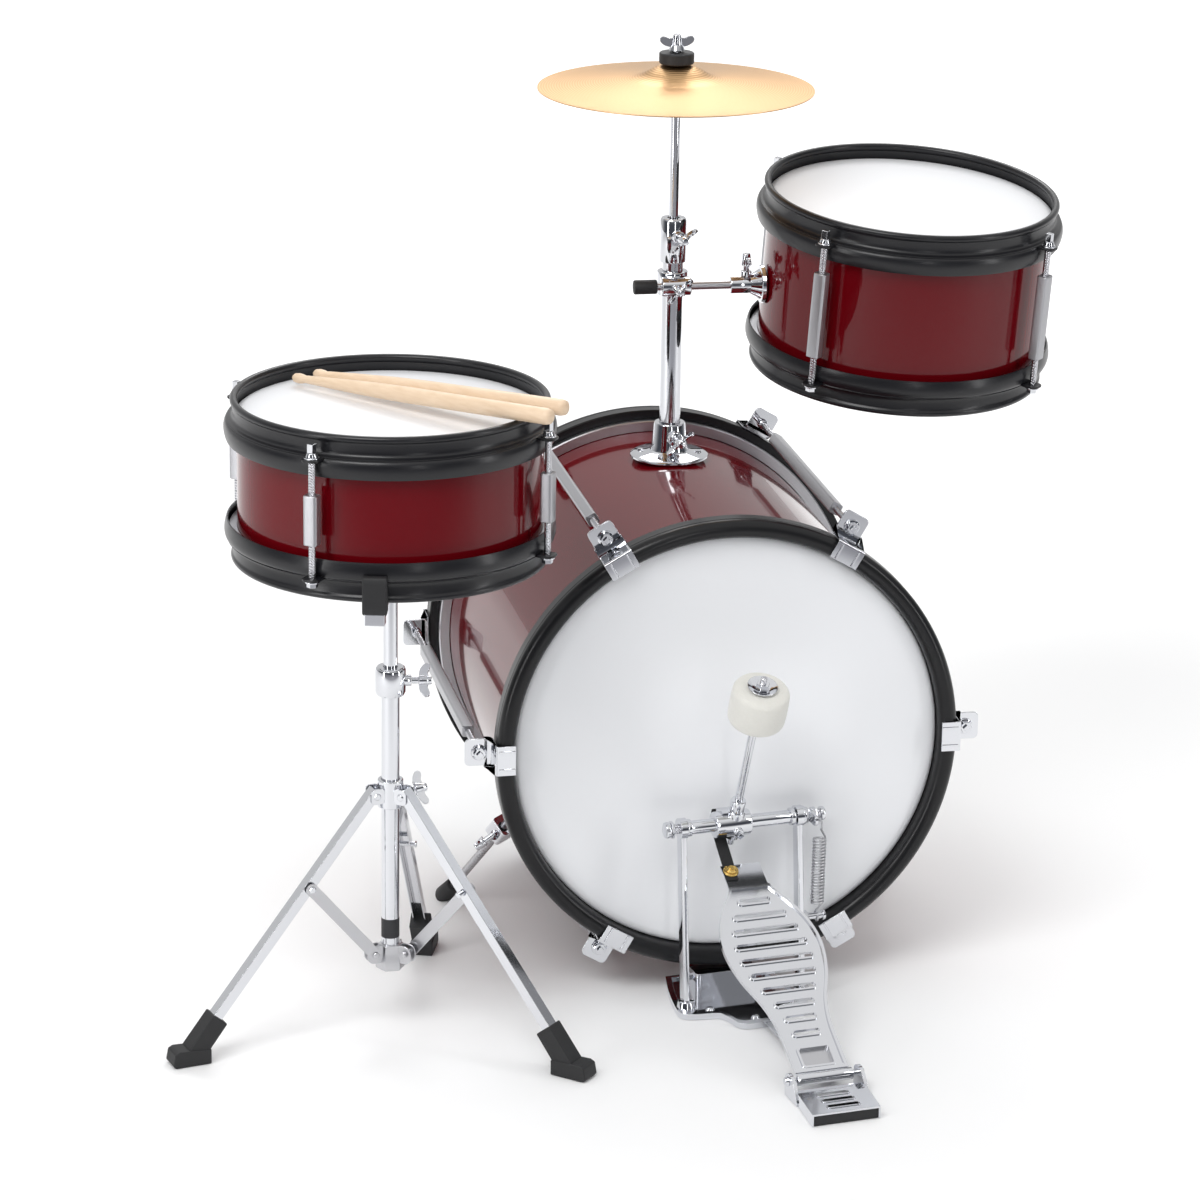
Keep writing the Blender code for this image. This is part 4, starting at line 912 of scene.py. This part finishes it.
def make_basket(place):
    low = BASKET_Z - 0.012
    ears = []
    for angle in BASKET_ANGLES:
        where = leg_frame(angle)
        upright = where @ Matrix.Rotation(math.radians(90), 4, "X")
        for offset in (-0.0062, 0.0062):
            ears.append(plate(rounded(0.0140, 0.0112, 0.0035, (0.0150, BASKET_Z - 0.004)), offset - 0.0008,
                              offset + 0.0008, upright))
        ears += pin_across(where, (0.0175, 0, BASKET_Z - 0.004), 0.0070)
    make("stand_upper_look", "stand_top", "chrome",
         rod(STAND + Z * 0.24, STAND + Z * (low + 0.002), 0.0063, 40),
         lathe([(0, low), (0.0110, low), (0.0125, low + 0.003), (0.0125, BASKET_Z + 0.002),
                (0.0115, BASKET_Z + 0.004),
                (0, BASKET_Z + 0.004)], place, 48), *ears, stands_for="stand_upper_tube", bevel=0.0003)
    for number, angle in enumerate(BASKET_ANGLES, 1):
        where = leg_frame(angle)
        upright = where @ Matrix.Rotation(math.radians(90), 4, "X")
        bar = [(0.0145, BASKET_Z - 0.0075), (0.1480, BASKET_Z + 0.0043), (0.1520, BASKET_Z + 0.0075),
               (0.1520, BASKET_Z + 0.0440), (0.1460, BASKET_Z + 0.0440), (0.1410, BASKET_Z + 0.0300),
               (0.1410, BASKET_Z + 0.0180), (0.1290, BASKET_Z + 0.0110), (0.0145, BASKET_Z - 0.0010)]
        make(f"basket_arm_{number}_look", f"basket_arm_{number}", "satin",
             plate(bar, -0.0050, 0.0050, upright),
             stands_for=f"basket_arm_{number}", bevel=0.0012)
        clip = [(0.1385, BASKET_Z + 0.0030), (0.1535, BASKET_Z + 0.0045), (0.1535, BASKET_Z + 0.0150),
                (0.1385, BASKET_Z + 0.0150)]
        make(f"basket_clip_{number}", f"basket_arm_{number}", "chrome", plate(clip, -0.0085, 0.0085, upright),
             bevel=0.0008)
        pad = smooth_line([(0.1396, BASKET_Z + 0.0150), (0.1460, BASKET_Z + 0.0140),
                           (0.1545, BASKET_Z + 0.0152),
                           (0.1552, BASKET_Z + 0.0300), (0.1540, BASKET_Z + 0.0455),
                           (0.1500, BASKET_Z + 0.0472),
                           (0.1452, BASKET_Z + 0.0460), (0.1448, BASKET_Z + 0.0370),
                           (0.1400, BASKET_Z + 0.0290),
                           (0.1396, BASKET_Z + 0.0200)], 3)
        make(f"basket_pad_{number}", f"basket_arm_{number}", "rubber", plate(pad, -0.0105, 0.0105, upright),
             bevel=0.0018)
    make_snare()


# ---------------------------------------------------------------- pedal
def pedal_matrix():
    return Matrix.Translation(PEDAL_PLACE) @ Matrix.Rotation(math.radians(PEDAL_TURN), 4, "Z")


def make_pedal():
    place = pedal_matrix()
    across = place.to_3x3() @ X
    make_pedal_frame(place, across)
    make_heel(place, across)
    make_footboard(place, across)
    make_axle(place, across)
    make_beater(place, across)
    make_spring(place, across)


def make_pedal_frame(place, across):
    left = smooth_line([(-0.046, 0.052), (-0.054, 0.024), (-0.060, -0.004), (-0.0632, -0.028),
                        (-0.0600, -0.0365),
                        (-0.0500, -0.0405), (-0.0300, -0.0440), (-0.0235, -0.0560), (-0.0205, -0.0690),
                        (-0.0140, -0.0750)], 4)
    outline = left + [(-x, y) for x, y in reversed(left)]
    inner = [(x * 0.90, y * 0.90 + 0.0006) for x, y in outline]
    lean = -0.018
    shapes = [plate(outline, 0.0, 0.0034, place), pierced(outline, [inner], 0.0030, 0.0058, place),
              plate(rounded(0.060, 0.036, 0.004, (0, 0.030)), 0.002, 0.021, place),
              plate(rounded(0.016, 0.144, 0.002, (0.0120, -0.1380)), 0.0020, 0.0050, place)]
    for side in POST_SIDES:
        foot = place @ Vector((side, lean, 0.003))
        top = place @ Vector((side, 0, AXLE_Z))
        upright = frame_at(foot, top - foot, across)
        shapes.append(plate(rounded(0.0060, 0.0130, 0.0020), 0.0, (top - foot).length - 0.003, upright))
        eye = frame_at(top - across * 0.0033, across, Z)
        shapes.append(lathe([(0.0046, 0), (0.0098, 0), (0.0098, 0.0066), (0.0046, 0.0066)], eye, 48))
        pad = place @ Vector((side, lean - 0.002, 0))
        shapes.append(rod(pad + Z * 0.003, pad + Z * 0.0115, 0.0090, 32, 0.0075, 0.0008))
    for spot in ((-0.0330, -0.0300), (0.0330, -0.0300), (0.0, -0.0600)):
        screw = place @ Vector((*spot, 0))
        shapes.append(rod(screw + Z * 0.0030, screw + Z * 0.0062, 0.0044, 28, 0.0034, 0.0006))
    pin = place @ Vector((POST_SIDES[1], lean * 0.5, 0.0750))
    shapes += [rod(pin - across * 0.004, pin + across * 0.0255, 0.0032, 24),
               rod(pin + across * 0.0225, pin + across * 0.0257, 0.0050, 24, 0.0044, 0.0005),
               rod(pin + across * 0.0030, pin + across * 0.0080, 0.0062, 6)]
    make("pedal_frame_look", "kit", "chrome", *shapes, stands_for="pedal_frame", bevel=0.0007)


def make_heel(place, across):
    rear, front = HINGE_Y - 0.0658, HINGE_Y - 0.0140
    deck = [(-0.0373, rear), (0.0263, rear), (0.0322, front), (-0.0322, front)]
    slots = [rounded(0.0300, 0.0052, 0.0025, (-0.0035, HINGE_Y - 0.0290 - 0.0125 * i)) for i in range(3)]
    shapes = [pierced(deck, slots, 0.0098, 0.0115, place)]
    wall = 0.0016
    inner = [(x * 0.95, y) for x, y in deck]
    shapes.append(plate([deck[0], (deck[0][0] + wall, deck[0][1]), (deck[3][0] + wall, deck[3][1]), deck[3]],
                        0.0, 0.0100, place))
    shapes.append(plate([deck[1], (deck[1][0] - wall, deck[1][1]), (deck[2][0] - wall, deck[2][1]), deck[2]],
                        0.0, 0.0100, place))
    for slot in slots:
        lip = [((x + 0.0035) * 1.06 - 0.0035, y) for x, y in slot]
        middle = sum(y for _, y in slot) / len(slot)
        lip = [(x, middle + (y - middle) * 1.45) for x, y in lip]
        shapes.append(pierced(lip, [slot], 0.0112, 0.0121, place))
    upright = side_view(place)
    ear = smooth_line([(-0.022, 0.004), (-0.014, 0.0160), (-0.006, 0.0215), (0.001, 0.0220), (0.0065, 0.0175),
                       (0.0068, 0.0060), (0.0060, 0.0)], 4) + [(-0.022, 0.0)]
    for side in (-1, 1):
        shapes.append(plate(ear, side * 0.0325 - 0.0016, side * 0.0325 + 0.0016, upright))
        eye = place @ Vector((side * 0.0270, HINGE_Y, HINGE_Z))
        shapes.append(rod(eye, eye + across * side * 0.0104, 0.0026, 24))
        shapes.append(rod(eye + across * side * 0.0070, eye + across * side * 0.0102, 0.0046, 28, 0.0036,
                          0.0005))
    make("heel_plate_look", "kit", "chrome", *shapes, stands_for="heel_plate", bevel=0.0005)
    strip = [(inner[0][0], rear + 0.0010), (inner[1][0], rear + 0.0010), (inner[1][0], rear + 0.0060),
             (inner[0][0], rear + 0.0060)]
    make("heel_plate_rubber", "kit", "rubber", plate(strip, 0.0, 0.0097, place), bevel=0.0008)


def side_view(place):
    turn = Matrix(((0, 0, 1, 0), (1, 0, 0, 0), (0, 1, 0, 0), (0, 0, 0, 1)))
    return place @ Matrix.Translation((0, HINGE_Y, 0)) @ turn


BOARD_HALF = smooth_line([(0.0250, 0.006), (0.0250, 0.030), (0.0258, 0.058), (0.0310, 0.084), (0.0420, 0.114),
                          (0.0470, 0.144), (0.0435, 0.170), (0.0330, 0.194), (0.0205, 0.214), (0.0188, 0.228),
                          (0.0190, 0.244)], 5)


def board_width(level):
    return next(x for x, y in BOARD_HALF if y >= level)


def both_sides(half):
    return half + [(-x, y) for x, y in reversed(half)]


def make_footboard(place, across):
    hinge = place @ Vector((0, HINGE_Y, HINGE_Z))
    slope = math.radians(BOARD_SLOPE)
    along = place.to_3x3() @ Vector((0, math.cos(slope), math.sin(slope)))
    normal = across.cross(along)
    where = frame_at(hinge, normal, across)
    slots, lips = [], []
    for i in range(SLOT_COUNT):
        level = 0.0490 + 0.0168 * i
        width = 2 * board_width(level) - 0.0250
        slots.append(rounded(width, 0.0052, 0.0025, (0, level)))
        lips.append(pierced(rounded(width + 0.0032, 0.0088, 0.0043, (0, level)), [slots[-1]], 0.0003, 0.0015,
                            where))
    window = rounded(0.0280, 0.0190, 0.0020, (0, 0.0220))
    lips.append(pierced(rounded(0.0320, 0.0232, 0.0030, (0, 0.0220)), [window], 0.0003, 0.0018, where))
    sole = pierced(both_sides(BOARD_HALF), [window, *slots], -0.0018, 0.0004, where)
    rim = [(x, y) for x, y in BOARD_HALF if y < 0.2185]
    inner = [(x - 0.0028, y) for x, y in rim if 0.0088 < y < 0.2160]
    shapes = [sole, pierced(both_sides(rim), [both_sides(inner)], 0.0002, 0.0022, where),
              rod(hinge - across * 0.0262, hinge + across * 0.0262, 0.0055, 32, 0.0055, 0.0005),
              block((0, 0.0055, -0.0005), (0.0480, 0.0110, 0.0040), where)]
    make("footboard_look", "footboard", "chrome", *shapes, *lips, stands_for="footboard", bevel=0.0004)
    make("footboard_window", "footboard", "satin", plate(rounded(0.0290, 0.0200, 0.002, (0, 0.0220)), -0.0030,
                                                         -0.0018, where), bevel=0.0003)
    make_strap(place, across, where, normal)


def make_strap(place, across, where, normal):
    side = -0.0125
    route = [where @ Vector((side, 0.226, 0.0014)), where @ Vector((side, 0.233, 0.0016)),
             where @ Vector((side, 0.238, 0.0024))]
    for turn in range(-47, 41, 8):
        over = math.radians(turn)
        route.append(place @ Vector((side, 0.0172 * math.cos(over), AXLE_Z + 0.0172 * math.sin(over))))
    points, faces = [], []
    for i, point in enumerate(route):
        ahead = route[min(i + 1, len(route) - 1)] - route[max(i - 1, 0)]
        out = across.cross(ahead).normalized()
        for a, b in ((-1, -1), (1, -1), (1, 1), (-1, 1)):
            points.append(point + across * a * 0.0055 + out * b * 0.0009)
    for i in range(len(route) - 1):
        for k in range(4):
            faces.append([4 * i + k, 4 * i + (k + 1) % 4, 4 * i + 4 + (k + 1) % 4, 4 * i + 4 + k])
    faces += [[0, 1, 2, 3], [len(points) - 4 + k for k in range(4)]]
    make("pedal_strap_look", "footboard", "strap", shape(points, faces), stands_for="pedal_strap",
         bevel=0.0003)
    bolt_at = where @ Vector((-0.0118, 0.2355, 0.0024))
    make("strap_bolt", "footboard", "brass",
         rod(bolt_at, bolt_at + normal * 0.0014, 0.0072, 36, 0.0070, 0.0003),
         rod(bolt_at + normal * 0.0014, bolt_at + normal * 0.0042, 0.0048, 28, 0.0040, 0.0008),
         rod(bolt_at + normal * 0.0040, bolt_at + normal * 0.0052, 0.0024, 6), bevel=0.0003)


def beater_axes(place, across):
    lean = math.radians(BEATER_LEAN)
    up = place.to_3x3() @ Vector((0, -math.sin(lean), math.cos(lean)))
    hub = place @ Vector((BEATER_SIDE, 0, AXLE_Z))
    return hub, up, up.cross(across)


def make_axle(place, across):
    hub, up, ahead = beater_axes(place, across)
    centre = place @ Vector((0, 0, AXLE_Z))
    left, right = AXLE_ENDS
    cam_place = frame_at(centre - across * 0.016, across, place.to_3x3() @ Y)

    def bar(start, end, radius, sides=40, edge=0.0005):
        return rod(place @ Vector((start, 0, AXLE_Z)), place @ Vector((end, 0, AXLE_Z)), radius, sides,
                   radius, edge)
    lever = frame_at(place @ Vector((0.0715, -0.0070, AXLE_Z)), across, place.to_3x3() @ Y)
    make("pedal_axle_look", "pedal_axle", "chrome",
         bar(-0.0485, 0.0560, 0.0064), bar(left - 0.0060, left - 0.0006, 0.0076, 32, 0.0018),
         bar(left - 0.0004, left + 0.0026, 0.0080, 6, 0.0002), bar(0.0641, 0.0665, 0.0088),
         bar(0.0666, 0.0700, 0.0074, 6, 0.0002), bar(0.0732, 0.0775, 0.0068, 6, 0.0002),
         bar(right - 0.0045, right, 0.0066, 32, 0.0014), bar(-0.022, 0.012, 0.0120, 48, 0.0010),
         bar(-0.0485, -0.0445, 0.0082), bar(0.0520, 0.0560, 0.0082),
         rod(hub - up * 0.014, hub + up * 0.016, 0.0085, 48, 0.0082, 0.0008),
         rod(hub + up * 0.016, hub + up * 0.028, 0.0070, 48, 0.0070, 0.0009),
         plate(arc((0, 0), 0.0152, -60, 120, 24), 0.0, 0.010, cam_place),
         plate(rounded(0.0260, 0.010, 0.0045), -0.0015, 0.0015, lever),
         rod(hub - ahead * 0.007, hub - ahead * 0.0150, 0.0046, 32, 0.0044, 0.0005),
         rod(hub - ahead * 0.0148, hub - ahead * 0.0190, 0.0036, 4),
         stands_for="pedal_axle", bevel=0.0004)
    make("pedal_axle_thread", "pedal_axle", "thread",
         rod(place @ Vector((left, 0, AXLE_Z)), place @ Vector((right - 0.001, 0, AXLE_Z)), 0.0042, 32))


def make_beater(place, across):
    hub, up, _ = beater_axes(place, across)
    top = hub + up * BEATER_REACH
    make("beater_shaft_look", "beater", "chrome",
         rod(hub - up * 0.024, top + up * 0.001, 0.0037, 32, 0.0037, 0.0006),
         stands_for="beater_shaft")
    make("beater_thread", "beater", "thread", rod(top, top + up * 0.0118, 0.0030, 24, 0.0030, 0.0005))
    dish = [(0.0030, 0.0012), (0.0070, 0.0012), (0.0105, 0.0020), (0.0128, 0.0034), (0.0138, 0.0036),
            (0.0136, 0.0024),
            (0.0115, 0.0006), (0.0030, 0.0003)]
    make("beater_washer", "beater", "chrome", lathe(dish, frame_at(top, up), 64),
         rod(top + up * 0.0012, top + up * 0.0066, 0.0062, 6), bevel=0.0004)
    edge = 0.0060
    felt = [(0.0040, 0.0), (FELT_R - edge, 0.0)]
    felt += [(FELT_R - edge + r, edge + z) for r, z in arc((0, 0), edge, -90, 0, 6)]
    felt += [(FELT_R + 0.0004, FELT_LENGTH / 2)]
    felt += [(FELT_R - edge + r, FELT_LENGTH - edge + z) for r, z in arc((0, 0), edge, 0, 90, 6)]
    felt += [(0.0040, FELT_LENGTH)]
    pad = make("beater_felt_look", "beater", "felt", lathe(felt, frame_at(top - up * FELT_LENGTH, up), 96),
               stands_for="beater_felt", sharp=60)


def make_spring(place, across):
    """The coil with a hook at each end, over the pin below and round the lever above."""
    low = place @ Vector((0.0780, -0.0090, 0.0750))
    high = place @ Vector((0.0780, -0.0120, AXLE_Z - 0.0020))
    up = (high - low).normalized()
    other = up.cross(across)
    length = (high - low).length
    bottom, top, radius = 0.0120, length - 0.0170, 0.0056
    turns, steps = 21, 14

    def hook(middle, start, end):
        points = []
        for i in range(9):
            turn = math.radians(start + (end - start) * i / 8)
            points.append(middle + (other * math.cos(turn) + up * math.sin(turn)) * 0.0046)
        return points
    route = hook(low, -200, 60)
    for i in range(turns * steps + 1):
        angle = 2 * math.pi * i / steps
        height = bottom + (top - bottom) * i / (turns * steps)
        route.append(low + up * height + (across * math.cos(angle) + other * math.sin(angle)) * radius)
    route += hook(high - up * 0.0040, 240, -20)
    make("pedal_spring_look", "kit", "satin", sweep(route, 0.00100, 8), stands_for="pedal_spring", sharp=80)


# ---------------------------------------------------------------- stage
def make_stage():
    mesh = bpy.data.meshes.new("floor")
    size = 12.0
    mesh.from_pydata([(-size, -size, 0), (size, -size, 0), (size, size, 0), (-size, size, 0)], [],
                     [(0, 1, 2, 3)])
    floor = bpy.data.objects.new("floor", mesh)
    bpy.context.scene.collection.objects.link(floor)
    mesh.materials.append(floor_material())
    floor.location.z = -0.0004

    make_sky()
    lamps = (
        ("key", (-1.5, -2.0, 3.0), (1.5, 1.5), 48),
        ("left_strip", (-2.3, -1.3, 0.9), (0.35, 1.9), 16),
        ("right_strip", (2.2, -1.5, 0.9), (0.22, 1.9), 12),
        ("front_strip", (0.35, -3.4, 1.0), (0.16, 1.6), 6),
        ("back", (0.6, 2.4, 2.8), (1.8, 1.2), 34),
    )
    for name, spot, (width, height), power in lamps:
        lamp = bpy.data.lights.new(name, "AREA")
        lamp.shape = "RECTANGLE"
        lamp.energy = power
        lamp.size = width
        lamp.size_y = height
        holder = bpy.data.objects.new(name, lamp)
        holder.location = spot
        aim = Vector((0, 0, 0.4)) - Vector(spot)
        holder.rotation_euler = aim.to_track_quat("-Z", "Y").to_euler()
        bpy.context.scene.collection.objects.link(holder)
    bpy.context.scene.view_settings.view_transform = "Standard"


def make_sky():
    world = bpy.data.worlds.new("studio")
    world.use_nodes = True
    tree = world.node_tree
    place = tree.nodes.new("ShaderNodeTexCoord")
    parts = tree.nodes.new("ShaderNodeSeparateXYZ")
    tree.links.new(place.outputs["Generated"], parts.inputs["Vector"])
    shares = []
    for axis, low, high, most in (("Z", 0.20, 0.75, 1.0), ("Y", -0.10, 0.80, 0.75)):
        share = tree.nodes.new("ShaderNodeMapRange")
        share.interpolation_type = "SMOOTHSTEP"
        share.inputs["From Min"].default_value = low
        share.inputs["From Max"].default_value = high
        share.inputs["To Max"].default_value = most
        tree.links.new(parts.outputs[axis], share.inputs["Value"])
        shares.append(share)
    most = tree.nodes.new("ShaderNodeMath")
    most.operation = "MAXIMUM"
    for i, share in enumerate(shares):
        tree.links.new(share.outputs["Result"], most.inputs[i])
    ramp = tree.nodes.new("ShaderNodeValToRGB")
    ramp.color_ramp.elements[0].color = (0.075, 0.080, 0.095, 1)
    ramp.color_ramp.elements[1].color = (1.0, 1.0, 1.0, 1)
    tree.links.new(most.outputs["Value"], ramp.inputs["Fac"])
    background = tree.nodes["Background"]
    background.inputs["Strength"].default_value = 0.88
    tree.links.new(ramp.outputs["Color"], background.inputs["Color"])
    bpy.context.scene.world = world


def make_camera():
    """The photograph's viewpoint, worked out in the working frame and moved with everything else."""
    camera = bpy.data.cameras.new("camera")
    camera.lens = 136.8
    camera.sensor_width = 36.0
    camera.shift_x = 0.0060
    camera.shift_y = -0.0230
    camera.clip_end = 50.0
    holder = bpy.data.objects.new("camera", camera)
    yaw, pitch, roll = CAMERA_ANGLES
    look = Vector((math.sin(yaw) * math.cos(pitch), math.cos(yaw) * math.cos(pitch), -math.sin(pitch)))
    right = Vector((math.cos(yaw), -math.sin(yaw), 0))
    above = right.cross(look)
    tilted = right * math.cos(roll) + above * math.sin(roll)
    top = above * math.cos(roll) - right * math.sin(roll)
    turn = Matrix((tilted, top, -look)).transposed().to_4x4()
    holder.matrix_world = PLACE @ Matrix.Translation(CAMERA_AT) @ turn
    bpy.context.scene.collection.objects.link(holder)
    bpy.context.scene.camera = holder


make_bass()
make_spurs()
make_post()
make_stand()
make_pedal()
make_stage()
make_camera()

bpy.context.view_layer.update()
